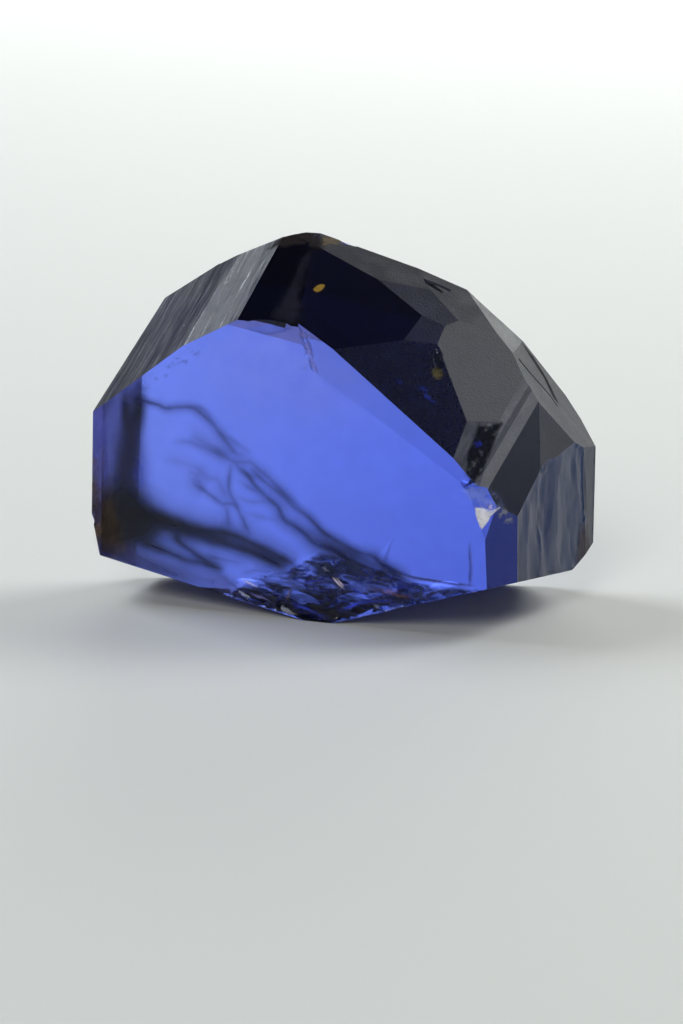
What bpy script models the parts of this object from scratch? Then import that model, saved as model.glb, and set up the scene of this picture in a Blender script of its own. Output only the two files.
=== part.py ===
"""Rough tanzanite: one solid gem crystal, cut from a block by its facet planes, then grooved, chipped and scooped.

Units are millimetres in the constants and metres in the scene. +Z is up, the big polished window faces -Y,
and the origin is at the middle of the resting side of the bounding box.
"""

import math

import bmesh
import bpy
from mathutils import Matrix, Vector

MM = 0.001
BLOCK_SIDE_MM = 90.0
CENTRE_MM = Vector((-0.02, -0.09, 16.0))

GEM_COLOUR = (0.16, 0.22, 0.72, 1.0)
GEM_ROUGHNESS = 0.12
GEM_IOR = 1.69

# Each facet: degrees round from the front towards the right, degrees of upward tilt, mm from the centre.
FACETS = {
    "window": (-22.30, 4.13, 5.72),
    "window_margin": (-25.80, 3.93, 7.02),
    "striated_left": (-69.01, 45.31, 15.52),
    "striated_right": (-56.57, 48.92, 14.21),
    "dark_left": (-19.83, 51.84, 11.56),
    "dark_right": (18.40, 48.50, 9.54),
    "slate_upper": (23.79, 50.77, 10.18),
    "slate_lower": (19.98, 47.49, 9.56),
    "slate_long": (18.89, 43.69, 9.25),
    "stripe": (26.28, 40.04, 10.29),
    "ground_top": (25.04, 52.83, 10.58),
    "ground_upper": (35.07, 52.78, 11.48),
    "ground_large": (26.91, 43.90, 9.99),
    "ground_bright": (78.98, 44.21, 16.15),
    "ground_outer": (78.88, 34.06, 16.78),
    "ground_beige": (77.44, 33.36, 16.72),
    "ground_stripe": (41.81, 30.15, 13.01),
    "olive_lower": (43.58, 27.97, 13.46),
    "olive_upper": (58.57, 20.95, 16.19),
    "right_face": (61.46, 3.25, 18.15),
    "right_strip": (70.85, 2.90, 20.02),
    "corner_face": (29.45, 5.82, 15.78),
    "under_left": (-52.91, -68.21, 17.29),
    "under_right": (40.56, -70.66, 16.59),
    "under_corner": (86.73, -54.35, 22.58),
    "back": (174.87, -5.72, 9.84),
    "back_top": (167.51, 25.19, 12.28),
    "back_left": (-126.48, -1.14, 20.86),
    "back_right": (147.85, -11.74, 18.18),
    "back_upper": (-155.57, 61.12, 19.08),
    "apex": (-8.53, 62.58, 13.44),
    "rest": (180.00, -90.00, 16.00),
}

# Growth grooves across the two striated facets: facet, x and z of the middle, width, depth.
GROOVE_HALF_LENGTH_MM = 14.3
GROOVES = (
    ("striated_left", -21.4, 19.1, 0.55, 0.14),
    ("striated_left", -20.5, 19.8, 0.75, 0.18),
    ("striated_left", -19.3, 20.8, 0.50, 0.12),
    ("striated_left", -18.5, 21.4, 0.60, 0.16),
    ("striated_left", -17.4, 22.2, 0.45, 0.12),
    ("striated_left", -16.6, 22.8, 0.70, 0.18),
    ("striated_left", -15.5, 23.7, 0.50, 0.13),
    ("striated_right", -14.4, 24.5, 0.45, 0.13),
    ("striated_right", -13.5, 25.0, 0.65, 0.18),
    ("striated_right", -12.7, 25.4, 0.45, 0.13),
    ("striated_right", -12.0, 25.8, 0.55, 0.17),
    ("striated_right", -11.1, 26.3, 0.45, 0.12),
    ("striated_right", -10.4, 26.7, 0.55, 0.15),
)
RIDGE_GROOVES = (
    ("ground_stripe", 15.2, 18.5, 0.45, 0.10),
    ("ground_stripe", 14.3, 17.5, 0.50, 0.12),
)
BACK_GROOVES = (
    ("back", -9.0, 14.0, 1.40, 0.35),
    ("back", 1.5, 13.0, 1.00, 0.25),
    ("back", 10.0, 11.0, 1.60, 0.40),
    ("back_left", -20.0, 12.0, 1.20, 0.30),
)

# Open cracks, as points on one facet (x, z), with their width and depth.
CRACKS = (
    ("ground_beige", ((16.1, 22.9), (17.1, 21.6), (19.1, 19.1), (19.7, 18.2)), 0.28, 0.35),
    ("ground_upper", ((7.7, 29.7), (8.7, 29.3), (9.7, 28.85)), 0.35, 0.22),
    ("window", ((-4.03, 26.2), (-3.40, 24.6), (-2.92, 23.1)), 0.22, 0.20),
)

# Rounded flakes: facet, x, z, half length, half width, depth, degrees turned on the facet, fineness.
SCOOPS = (
    ("window", -6.9, 26.9, 2.5, 0.95, 0.45, 4.0, 2),
    ("window", -3.3, 24.2, 1.5, 0.45, 0.16, 66.0, 2),
    ("window", 10.9, 13.9, 0.65, 0.40, 0.40, -40.0, 2),
    ("window", -8.3, 2.3, 2.2, 1.1, 0.30, -14.0, 2),
    ("window", -4.2, 1.4, 2.6, 1.3, 0.35, -8.0, 2),
    ("window", 0.6, 1.6, 2.4, 1.5, 0.35, 16.0, 2),
    ("window", 4.6, 3.0, 2.6, 1.2, 0.35, 18.0, 2),
    ("window", 8.9, 4.1, 2.0, 0.9, 0.25, 14.0, 2),
    ("window", -0.8, 4.9, 2.0, 0.9, 0.22, -30.0, 2),
    ("right_face", 18.4, 11.8, 5.0, 1.9, 0.13, 74.0, 3),
    ("right_face", 20.8, 8.4, 6.6, 2.6, 0.18, 86.0, 3),
    ("right_face", 17.3, 7.4, 5.2, 1.5, 0.12, 80.0, 3),
    ("right_face", 22.3, 11.0, 4.0, 1.3, 0.12, 100.0, 3),
    ("stripe", 12.4, 17.3, 1.15, 0.75, 0.28, 70.0, 2),
    ("slate_long", 8.5, 23.8, 1.5, 0.5, 0.12, 76.0, 2),
    ("apex", -4.2, 33.0, 1.5, 0.6, 0.18, 10.0, 2),
    ("ground_top", 0.2, 33.0, 1.4, 0.5, 0.14, -12.0, 2),
    ("back", -5.0, 23.0, 10.0, 6.5, 0.80, 20.0, 3),
    ("back", 13.0, 8.0, 9.0, 6.0, 0.70, -30.0, 3),
    ("back", -15.0, 7.5, 7.0, 4.5, 0.60, 50.0, 3),
    ("back_top", 9.0, 26.5, 6.5, 3.2, 0.50, 25.0, 3),
    ("back_left", -22.0, 9.0, 5.0, 2.4, 0.35, 80.0, 3),
)

# Flat flakes: three points as facet, x, z; the cut passes through them all.
FLAKES = (
    (("window", 11.55, 12.0), ("corner_face", 13.5, 11.65), ("window", 12.25, 10.0)),
    (("window_margin", -23.45, 7.2), ("window_margin", -22.85, 4.15), ("back_left", -22.7, 4.6)),
)
FLAKE_SIDE_MM = 5.0

# The bevel beside the window's upper right edge, which starts at the crack.
BEVEL_LINE = (("window", -2.65, 22.9), ("window", 9.9, 14.5))
BEVEL_TOP = ("slate_long", 4.6, 20.4)
BEVEL_START = (("window", -3.95, 26.2), ("window", -2.8, 23.2))
BEVEL_LENGTH_MM = 22.0


def facing(name: str) -> Vector:
    """The outward direction of a facet."""
    round_about, tilt, _ = FACETS[name]
    a, t = math.radians(round_about), math.radians(tilt)
    return Vector((math.sin(a) * math.cos(t), -math.cos(a) * math.cos(t), math.sin(t)))


def on_facet(name: str, x: float, z: float) -> Vector:
    """The point of a facet's plane at this x and z, in mm."""
    outward = facing(name)
    distance = FACETS[name][2] + outward.dot(CENTRE_MM)
    return Vector((x, (distance - outward.x * x - outward.z * z) / outward.y, z))


def along_striations() -> Vector:
    """The direction of the crystal's growth grooves: the edge between two of its prism faces."""
    return facing("striated_right").cross(facing("dark_left")).normalized()


def frame_at(point: Vector, along: Vector, outward: Vector, size: Vector) -> Matrix:
    """A matrix with its Z along the given direction, its Y into the stone, scaled and set at the point."""
    up = outward.normalized()
    run = (along - up * along.dot(up)).normalized()
    side = run.cross(up)
    turn = Matrix((side, -up, run)).transposed()
    return Matrix.Translation(point * MM) @ (turn @ Matrix.Diagonal(size * MM)).to_4x4()


def add_mesh(name: str, shape: bmesh.types.BMesh, collection: bpy.types.Collection) -> bpy.types.Object:
    """Turns a finished bmesh into a named object, its faces outward."""
    bmesh.ops.recalc_face_normals(shape, faces=shape.faces)
    mesh = bpy.data.meshes.new(name)
    shape.to_mesh(mesh)
    shape.free()
    made = bpy.data.objects.new(name, mesh)
    collection.objects.link(made)
    return made


def add_cutter(name: str, shape: bmesh.types.BMesh, collection: bpy.types.Collection) -> None:
    """Adds a cutter, hidden from renders."""
    made = add_mesh(name, shape, collection)
    made.hide_render = True
    made.display_type = "WIRE"


def add_groove(
    name: str,
    collection: bpy.types.Collection,
    start: Vector,
    end: Vector,
    outward: Vector,
    width: float,
    depth: float,
) -> None:
    """A three-sided bar that cuts a V groove from start to end, this wide at the surface and this deep."""
    along = end - start
    size = Vector((2.0 * width / math.sqrt(3.0), 2.0 * depth / 1.5, along.length))
    middle = (start + end) / 2.0 + outward * depth / 3.0
    shape = bmesh.new()
    bmesh.ops.create_cone(
        shape,
        cap_ends=True,
        segments=3,
        radius1=1.0,
        radius2=1.0,
        depth=1.0,
        matrix=frame_at(middle, along, outward, size),
    )
    add_cutter(name, shape, collection)


def add_scoop(
    name: str,
    collection: bpy.types.Collection,
    facet: str,
    x: float,
    z: float,
    half_sizes: tuple[float, float],
    depth: float,
    turn: float,
    fineness: int,
) -> None:
    """A flattened ball that cuts a shallow dish of these half sizes on the facet."""
    outward = facing(facet)
    level = Vector((0.0, 0.0, 1.0)).cross(outward).normalized()
    along = Matrix.Rotation(math.radians(turn), 3, outward) @ level
    height = 3.0 * depth
    spread = 1.0 / math.sqrt(1.0 - ((height - depth) / height) ** 2)
    size = Vector((half_sizes[1] * spread, height, half_sizes[0] * spread))
    centre = on_facet(facet, x, z) + outward * (height - depth)
    shape = bmesh.new()
    bmesh.ops.create_icosphere(
        shape, subdivisions=fineness, radius=1.0, matrix=frame_at(centre, along, outward, size)
    )
    add_cutter(name, shape, collection)


def add_slab(
    name: str,
    collection: bpy.types.Collection,
    middle: Vector,
    along: Vector,
    outward: Vector,
    sides: tuple[float, float],
) -> None:
    """A box whose inner face lies on the plane through the middle, for a flat flake."""
    height = 6.0
    size = Vector((sides[1], height, sides[0]))
    shape = bmesh.new()
    bmesh.ops.create_cube(
        shape, size=1.0, matrix=frame_at(middle + outward * height / 2.0, along, outward, size)
    )
    add_cutter(name, shape, collection)


def plane_through(points: list[Vector]) -> tuple[Vector, Vector]:
    """The middle of three points and the direction square to them that faces away from the stone's centre."""
    middle = (points[0] + points[1] + points[2]) / 3.0
    outward = (points[1] - points[0]).cross(points[2] - points[0]).normalized()
    if outward.dot(middle - CENTRE_MM) < 0.0:
        outward = -outward
    return middle, outward


def build_cutters(collection: bpy.types.Collection) -> None:
    """Adds every groove, crack, scoop and flake."""
    growth = along_striations()
    for number, (facet, x, z, width, depth) in enumerate(GROOVES + BACK_GROOVES):
        outward = facing(facet)
        run = (growth - outward * growth.dot(outward)).normalized() * GROOVE_HALF_LENGTH_MM
        middle = on_facet(facet, x, z)
        add_groove(f"groove_{number}", collection, middle - run, middle + run, outward, width, depth)
    slope = facing("ground_stripe").cross(facing("olive_lower")).normalized() * GROOVE_HALF_LENGTH_MM
    for number, (facet, x, z, width, depth) in enumerate(RIDGE_GROOVES):
        middle = on_facet(facet, x, z)
        add_groove(f"ridge_groove_{number}", collection, middle - slope, middle + slope, facing(facet), width, depth)
    for number, (facet, points, width, depth) in enumerate(CRACKS):
        for part in range(len(points) - 1):
            start, end = on_facet(facet, *points[part]), on_facet(facet, *points[part + 1])
            over = (end - start).normalized() * width * 0.4
            add_groove(f"crack_{number}_{part}", collection, start - over, end + over, facing(facet), width, depth)
    for number, (facet, x, z, length, width, depth, turn, fineness) in enumerate(SCOOPS):
        add_scoop(f"scoop_{number}", collection, facet, x, z, (length, width), depth, turn, fineness)
    for number, points in enumerate(FLAKES):
        corners = [on_facet(*point) for point in points]
        middle, outward = plane_through(corners)
        add_slab(
            f"flake_{number}", collection, middle, corners[1] - corners[0], outward, (FLAKE_SIDE_MM, FLAKE_SIDE_MM)
        )
    line = [on_facet(*point) for point in BEVEL_LINE]
    _, outward = plane_through([line[0], line[1], on_facet(*BEVEL_TOP)])
    start = [on_facet(*point) for point in BEVEL_START]
    edge = (start[0] - start[1]).normalized()
    across = edge.cross(outward).normalized()
    if across.x < 0.0:
        across = -across
    middle = line[0] + across * BEVEL_LENGTH_MM / 2.0
    middle = middle - outward * (middle - line[0]).dot(outward)
    add_slab("bevel", collection, middle, edge, outward, (2.0 * BEVEL_LENGTH_MM, BEVEL_LENGTH_MM))


def build_stone(collection: bpy.types.Collection) -> bpy.types.Object:
    """A block cut back to every facet plane in turn."""
    shape = bmesh.new()
    bmesh.ops.create_cube(
        shape, size=BLOCK_SIDE_MM * MM, matrix=Matrix.Translation(CENTRE_MM * MM)
    )
    for name, (_, _, distance) in FACETS.items():
        outward = facing(name)
        cut = bmesh.ops.bisect_plane(
            shape,
            geom=shape.verts[:] + shape.edges[:] + shape.faces[:],
            dist=1e-9,
            plane_co=(CENTRE_MM + outward * distance) * MM,
            plane_no=outward,
            clear_outer=True,
        )
        rim = [item for item in cut["geom_cut"] if isinstance(item, bmesh.types.BMEdge)]
        bmesh.ops.contextual_create(shape, geom=rim)
    return add_mesh("rough_tanzanite", shape, collection)


def gem_material() -> bpy.types.Material:
    """Clear violet-blue crystal."""
    material = bpy.data.materials.new("tanzanite")
    material.use_nodes = True
    shader = material.node_tree.nodes["Principled BSDF"]
    shader.inputs["Base Color"].default_value = GEM_COLOUR
    shader.inputs["Roughness"].default_value = GEM_ROUGHNESS
    shader.inputs["IOR"].default_value = GEM_IOR
    material.diffuse_color = GEM_COLOUR
    return material


def main() -> None:
    """Builds the stone and its cutters in their own collections."""
    for old in list(bpy.data.objects):
        bpy.data.objects.remove(old, do_unlink=True)
    root = bpy.context.scene.collection
    home = bpy.data.collections.new("rough_tanzanite")
    tools = bpy.data.collections.new("cutters")
    root.children.link(home)
    root.children.link(tools)
    stone = build_stone(home)
    stone.data.materials.append(gem_material())
    build_cutters(tools)
    tools.hide_render = True
    cut = stone.modifiers.new("surface marks", "BOOLEAN")
    cut.operation = "DIFFERENCE"
    cut.operand_type = "COLLECTION"
    cut.collection = tools
    cut.solver = "EXACT"


if __name__ == "__main__":
    main()
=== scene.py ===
"""Looks of the rough tanzanite: a clear crystal with polished, ground and grooved facets, inner smoke, and
painted shade, glow and glints.
"""

from __future__ import annotations

import logging
import math
from collections.abc import Callable
from dataclasses import dataclass, field
from enum import Enum

import bmesh
import bpy
import numpy as np
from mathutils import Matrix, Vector
from mathutils.bvhtree import BVHTree

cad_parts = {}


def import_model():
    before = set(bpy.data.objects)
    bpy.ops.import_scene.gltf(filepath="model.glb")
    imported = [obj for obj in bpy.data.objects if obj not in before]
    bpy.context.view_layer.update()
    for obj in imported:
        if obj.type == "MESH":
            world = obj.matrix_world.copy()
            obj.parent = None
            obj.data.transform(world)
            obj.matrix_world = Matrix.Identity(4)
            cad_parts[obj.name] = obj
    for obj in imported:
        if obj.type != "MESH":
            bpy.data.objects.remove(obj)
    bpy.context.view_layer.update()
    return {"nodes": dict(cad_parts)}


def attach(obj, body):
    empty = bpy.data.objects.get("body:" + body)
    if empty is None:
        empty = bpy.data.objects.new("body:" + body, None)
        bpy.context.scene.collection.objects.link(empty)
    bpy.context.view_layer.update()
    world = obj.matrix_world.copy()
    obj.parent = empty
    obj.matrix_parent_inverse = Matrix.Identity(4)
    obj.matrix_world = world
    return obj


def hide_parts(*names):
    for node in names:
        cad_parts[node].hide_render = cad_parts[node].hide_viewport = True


MM = 0.001
# Closer to a cutting plane than this, in metres, a point counts as on it: for the stone and for a sheet
ON_PLANE = 2e-6
ON_SHEET_PLANE = 1e-7
MIDDLE_MM = Vector((-0.02, -0.09, 16.0))
UPWARD = Vector((0.0, 0.0, 1.0))
Colour = tuple[float, float, float]
Spot = tuple[float, float]
Socket = bpy.types.NodeSocket
Inputs = dict[str | int, object]
log = logging.getLogger("tanzanite")

CLEAR = (1.0, 1.0, 1.0)
BODY = (0.058, 0.10, 0.62)
# Tints that stop the light let through the ground, slaty and under faces: painted shade, as if the stone's
# inside lay dark behind them
GROUND_PAINTED_SHADE = (0.001, 0.001, 0.001)
SLATY_PAINTED_SHADE = (0.001, 0.001, 0.003)
UNDER_PAINTED_SHADE = (0.03, 0.03, 0.04)


@dataclass(frozen=True)
class Face:
    """One flat face of the stone: where it lies and how it was left.

    It stands round_about degrees from the front, tilts up by tilt degrees and lies reach mm from the stone's
    middle. Its tint is what it lets through, haze its ground bloom, grain its fine pits, lines its growth
    lines and waves its ripples. The tint is the stone's own colour on the window, its margin and the back
    faces, and painted shade, dark to near black, on all the others, as if the stone's inside lay dark behind
    them.
    """

    round_about: float
    tilt: float
    reach: float
    tint_and_shade: Colour
    roughness: float
    haze: float = 0.0
    grain: float = 0.0
    lines: float = 0.0
    waves: float = 0.0

    def facing(self) -> Vector:
        """The outward direction."""
        a, t = math.radians(self.round_about), math.radians(self.tilt)
        return Vector((math.sin(a) * math.cos(t), -math.cos(a) * math.cos(t), math.sin(t)))

    def depth(self, point_mm: Vector) -> float:
        """How deep a point in mm lies below the face's plane; negative above it."""
        return self.reach - self.facing().dot(point_mm - MIDDLE_MM)

    def axes(self) -> tuple[Vector, Vector, Vector]:
        """Finds the face's own directions.

        Returns:
            The level, upward and outward directions.
        """
        out = self.facing()
        level = UPWARD.cross(out).normalized()
        return level, out.cross(level), out


class Facet(Enum):
    """The stone's flat faces."""

    # The tints of all facets but the window, its margin and the back faces are painted shade: dark to near
    # black, as if the stone's inside lay dark behind them
    WINDOW = Face(-22.30, 4.13, 5.72, CLEAR, 0.02)
    WINDOW_MARGIN = Face(-25.80, 3.93, 7.02, (0.55, 0.50, 0.80), 0.10)
    STRIATED_LEFT = Face(-69.01, 45.31, 15.52, (0.002, 0.002, 0.003), 0.54, 0.15, 0.3, 1.0)
    STRIATED_RIGHT = Face(-56.57, 48.92, 14.21, (0.003, 0.003, 0.004), 0.42, 1.0, 0.3, 1.0)
    DARK_LEFT = Face(-19.83, 51.84, 11.56, (0.0001, 0.0001, 0.0003), 0.09, 0.0, 0.15)
    DARK_RIGHT = Face(18.40, 48.50, 9.54, (0.0002, 0.0002, 0.0010), 0.18, 0.03, 0.25)
    SLATE_UPPER = Face(23.79, 50.77, 10.18, SLATY_PAINTED_SHADE, 0.46, 0.2, 0.6)
    SLATE_LOWER = Face(19.98, 47.49, 9.56, SLATY_PAINTED_SHADE, 0.40, 0.08, 0.5)
    SLATE_LONG = Face(18.89, 43.69, 9.25, (0.001, 0.001, 0.002), 0.30, 0.0, 0.55)
    STRIPE = Face(26.28, 40.04, 10.29, (0.001, 0.001, 0.002), 0.44, 0.7, 0.6, 0.5)
    GROUND_TOP = Face(25.04, 52.83, 10.58, GROUND_PAINTED_SHADE, 0.62, 0.75, 1.0)
    GROUND_UPPER = Face(35.07, 52.78, 11.48, GROUND_PAINTED_SHADE, 0.62, 0.6, 1.0)
    GROUND_LARGE = Face(26.91, 43.90, 9.99, GROUND_PAINTED_SHADE, 0.60, 1.6, 1.3)
    GROUND_BRIGHT = Face(78.98, 44.21, 16.15, GROUND_PAINTED_SHADE, 0.66, 0.4, 0.8)
    GROUND_OUTER = Face(78.88, 34.06, 16.78, GROUND_PAINTED_SHADE, 0.68, 0.2, 0.7)
    GROUND_BEIGE = Face(77.44, 33.36, 16.72, GROUND_PAINTED_SHADE, 0.66, 0.3, 0.8)
    GROUND_STRIPE = Face(41.81, 30.15, 13.01, (0.002, 0.002, 0.002), 0.55, 2.3, 0.6, 0.7)
    OLIVE_LOWER = Face(43.58, 27.97, 13.46, (0.001, 0.002, 0.001), 0.22, 0.03, 0.25)
    OLIVE_UPPER = Face(58.57, 20.95, 16.19, GROUND_PAINTED_SHADE, 0.38, 0.2, 0.6)
    RIGHT_FACE = Face(61.46, 3.25, 18.15, (0.002, 0.014, 0.016), 0.30, 0.05, 0.1, 0.0, 1.0)
    RIGHT_STRIP = Face(70.85, 2.90, 20.02, (0.003, 0.008, 0.005), 0.45, 0.05, 0.1, 0.0, 0.6)
    CORNER_FACE = Face(29.45, 5.82, 15.78, (0.05, 0.05, 0.08), 0.08, 0.0, 0.05)
    UNDER_LEFT = Face(-52.91, -68.21, 17.29, UNDER_PAINTED_SHADE, 0.45, 0.3, 0.5)
    UNDER_RIGHT = Face(40.56, -70.66, 16.59, UNDER_PAINTED_SHADE, 0.45, 0.3, 0.5)
    UNDER_CORNER = Face(86.73, -54.35, 22.58, UNDER_PAINTED_SHADE, 0.45, 0.3, 0.5)
    BACK = Face(174.87, -5.72, 9.84, BODY, 0.72, 0.3, 0.12)
    BACK_TOP = Face(167.51, 25.19, 12.28, (0.112, 0.122, 0.61), 0.70, 0.4, 0.12)
    BACK_LEFT = Face(-126.48, -1.14, 20.86, (0.050, 0.062, 0.46), 0.68, 0.3, 0.2, 0.3, 0.2)
    BACK_RIGHT = Face(147.85, -11.74, 18.18, BODY, 0.68, 0.3, 0.2, 0.3, 0.2)
    BACK_UPPER = Face(-155.57, 61.12, 19.08, (0.10, 0.11, 0.50), 0.60, 0.4, 0.9)
    APEX = Face(-8.53, 62.58, 13.44, (0.002, 0.001, 0.001), 0.60, 0.1, 1.0)
    REST = Face(180.00, -90.00, 16.00, UNDER_PAINTED_SHADE, 0.50, 0.3, 0.5)


FACETS = list(Facet)
SOFT_FACETS = (Facet.RIGHT_FACE, Facet.RIGHT_STRIP)
LINED_FACETS = (Facet.STRIATED_LEFT, Facet.STRIATED_RIGHT)


def growth() -> Vector:
    """The direction of the crystal's growth lines."""
    return Facet.STRIATED_RIGHT.value.facing().cross(Facet.DARK_LEFT.value.facing()).normalized()


@dataclass(frozen=True)
class WindowPlane:
    """The polished window's own plane: level, upward and outward directions, and its foot in mm."""

    across: Vector
    up: Vector
    out: Vector
    foot: Vector

    def point(self, spot: Spot, depth: float = 0.0) -> Vector:
        """The point, in mm, that lies this deep behind a spot of the window."""
        return self.foot + self.across * spot[0] + self.up * spot[1] - self.out * depth

    def spot(self, point: Vector) -> Spot:
        """The spot of the window in front of a point in mm."""
        away = point - self.foot
        return away.dot(self.across), away.dot(self.up)


PANE = Facet.WINDOW.value
WINDOW = WindowPlane(*PANE.axes(), MIDDLE_MM + PANE.facing() * PANE.reach)


def finished(shape: bmesh.types.BMesh, name: str) -> bpy.types.Mesh:
    """Turns a shape into a mesh.

    Args:
        shape: the shape, which is freed.
        name: the mesh's name.

    Returns:
        The mesh.
    """
    mesh = bpy.data.meshes.new(name)
    shape.to_mesh(mesh)
    shape.free()
    return mesh


def placed(name: str, data: bpy.types.ID) -> bpy.types.Object:
    """Puts something in the scene.

    Args:
        name: the object's name.
        data: its mesh, light or camera.

    Returns:
        The object.
    """
    made = bpy.data.objects.new(name, data)
    bpy.context.scene.collection.objects.link(made)
    return made


def rotation(degrees: float) -> np.ndarray:
    """The matrix that turns rows of spots by some degrees, as spots @ rotation."""
    a = math.radians(degrees)
    return np.array(((math.cos(a), -math.sin(a)), (math.sin(a), math.cos(a))))


def rise(values: np.ndarray, start: float, width: float) -> np.ndarray:
    """Values that rise evenly from 0 at the start to 1 after the width, and stay there."""
    return np.clip((values - start) / width, 0.0, 1.0)


def eased(values: np.ndarray) -> np.ndarray:
    """Values from 0 to 1, with a soft start and end."""
    return values * values * (3.0 - 2.0 * values)


def blend(first: np.ndarray, second: np.ndarray, share: np.ndarray) -> np.ndarray:
    """Blends two values; a share of 0 is all of the first."""
    return first * (1.0 - share) + second * share


def along(ends: Spot, share: float) -> float:
    """The value at a share of the way from one end to the other."""
    return ends[0] + (ends[1] - ends[0]) * share


class Tree:
    """A short way to add and link the nodes of one material or group."""

    def __init__(self, tree: bpy.types.NodeTree) -> None:
        """Keeps the tree and clears it."""
        self.tree = tree
        tree.nodes.clear()

    @classmethod
    def of_material(cls, name: str) -> tuple[bpy.types.Material, Tree]:
        """Starts a material.

        Args:
            name: the material's name.

        Returns:
            The material and its empty tree.
        """
        made = bpy.data.materials.new(name)
        made.use_nodes = True
        return made, cls(made.node_tree)

    def add(self, kind: str, inputs: Inputs | None = None, **values: object) -> bpy.types.Node:
        """Adds a node.

        Args:
            kind: the node's class name.
            inputs: what each of its inputs is fed, by the input's name or number.
            **values: attributes of the node, set before its inputs are fed.

        Returns:
            The new node.
        """
        node = self.tree.nodes.new(kind)
        for name, value in values.items():
            setattr(node, name, value)
        for key, value in (inputs or {}).items():
            self.feed(node.inputs[key], value)
        return node

    def put(self, kind: str, inputs: Inputs | None = None, **values: object) -> Socket:
        """Adds a node as add does and returns its first output."""
        return self.add(kind, inputs, **values).outputs[0]

    def feed(self, socket: Socket, value: object) -> None:
        """Links an input to a socket, or sets it to a value.

        Args:
            socket: the input.
            value: a socket, or else a number, name, material, vector or colour.
        """
        if isinstance(value, Socket):
            self.tree.links.new(value, socket)
        elif isinstance(value, (tuple, Vector)) and socket.type == "RGBA":
            socket.default_value = (*value, 1.0)
        else:
            socket.default_value = value

    def math(self, operation: str, *values: object, clamp: bool = False) -> Socket:
        """Adds a Math node, fed with up to three sockets or numbers."""
        return self.put("ShaderNodeMath", dict(enumerate(values)), operation=operation, use_clamp=clamp)

    def shaded(self, amount: object, colour: object, shade: object) -> Socket:
        """Multiplies a colour by a shade, by an amount from 0 to 1."""
        inputs = {0: amount, 6: colour, 7: shade}
        return self.add("ShaderNodeMix", inputs, data_type="RGBA", blend_type="MULTIPLY").outputs[2]

    def ramp(self, value: object, low: float, high: float, start: float = 0.0, end: float = 1.0) -> Socket:
        """Maps a value smoothly, so that low gives start and high gives end."""
        inputs = dict(enumerate((value, low, high, start, end)))
        return self.put("ShaderNodeMapRange", inputs, interpolation_type="SMOOTHSTEP")

    def noise(self, place: object, scale: object, detail: float, rough: float = 0.5) -> Socket:
        """Adds a noise pattern."""
        inputs = {"Vector": place, "Scale": scale, "Detail": detail, "Roughness": rough}
        return self.put("ShaderNodeTexNoise", inputs)

    def bump(self, height: Socket, distance: float) -> Socket:
        """Adds a bump, its distance in metres."""
        return self.put("ShaderNodeBump", {"Height": height, "Distance": distance, "Strength": 1.0})

    def place(self) -> Socket:
        """The place on the object, in metres."""
        return self.add("ShaderNodeTexCoord").outputs["Object"]

    def read(self, name: str, colour: bool = False) -> Socket:
        """Reads one of the mesh's own values."""
        return self.add("ShaderNodeAttribute", attribute_name=name).outputs["Color" if colour else "Fac"]


class UnevenGrain:
    """The uneven grain that ground faces, crusts and smoke share: a blotchy and a dusty value."""

    NAME = "uneven_grain"

    @classmethod
    def place(cls, tree: Tree, blotch: float, dust: float) -> tuple[Socket, Socket]:
        """Puts the group in a material.

        Args:
            tree: the material's nodes.
            blotch: how many blotches to a metre.
            dust: how many dust grains to a metre.

        Returns:
            The blotchy value and the dusty value.
        """
        group = bpy.data.node_groups.get(cls.NAME) or cls.make()
        sizes = {"Place": tree.place(), "Blotches": blotch, "Dust": dust}
        node = tree.add("ShaderNodeGroup", sizes, node_tree=group)
        return node.outputs["Blotchy"], node.outputs["Dusty"]

    @classmethod
    def make(cls) -> bpy.types.NodeTree:
        """Builds the group once.

        Returns:
            The group.
        """
        made = bpy.data.node_groups.new(cls.NAME, "ShaderNodeTree")
        made.interface.new_socket("Place", in_out="INPUT", socket_type="NodeSocketVector")
        for name in ("Blotches", "Dust"):
            made.interface.new_socket(name, in_out="INPUT", socket_type="NodeSocketFloat")
        for name in ("Blotchy", "Dusty"):
            made.interface.new_socket(name, in_out="OUTPUT", socket_type="NodeSocketFloat")
        tree = Tree(made)
        inlet, outlet = tree.add("NodeGroupInput"), tree.add("NodeGroupOutput")
        for name, size, detail in (("Blotchy", "Blotches", 5.0), ("Dusty", "Dust", 3.0)):
            pattern = tree.noise(inlet.outputs["Place"], inlet.outputs[size], detail)
            tree.feed(outlet.inputs[name], tree.ramp(pattern, 0.3, 0.7))
        return made


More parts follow.
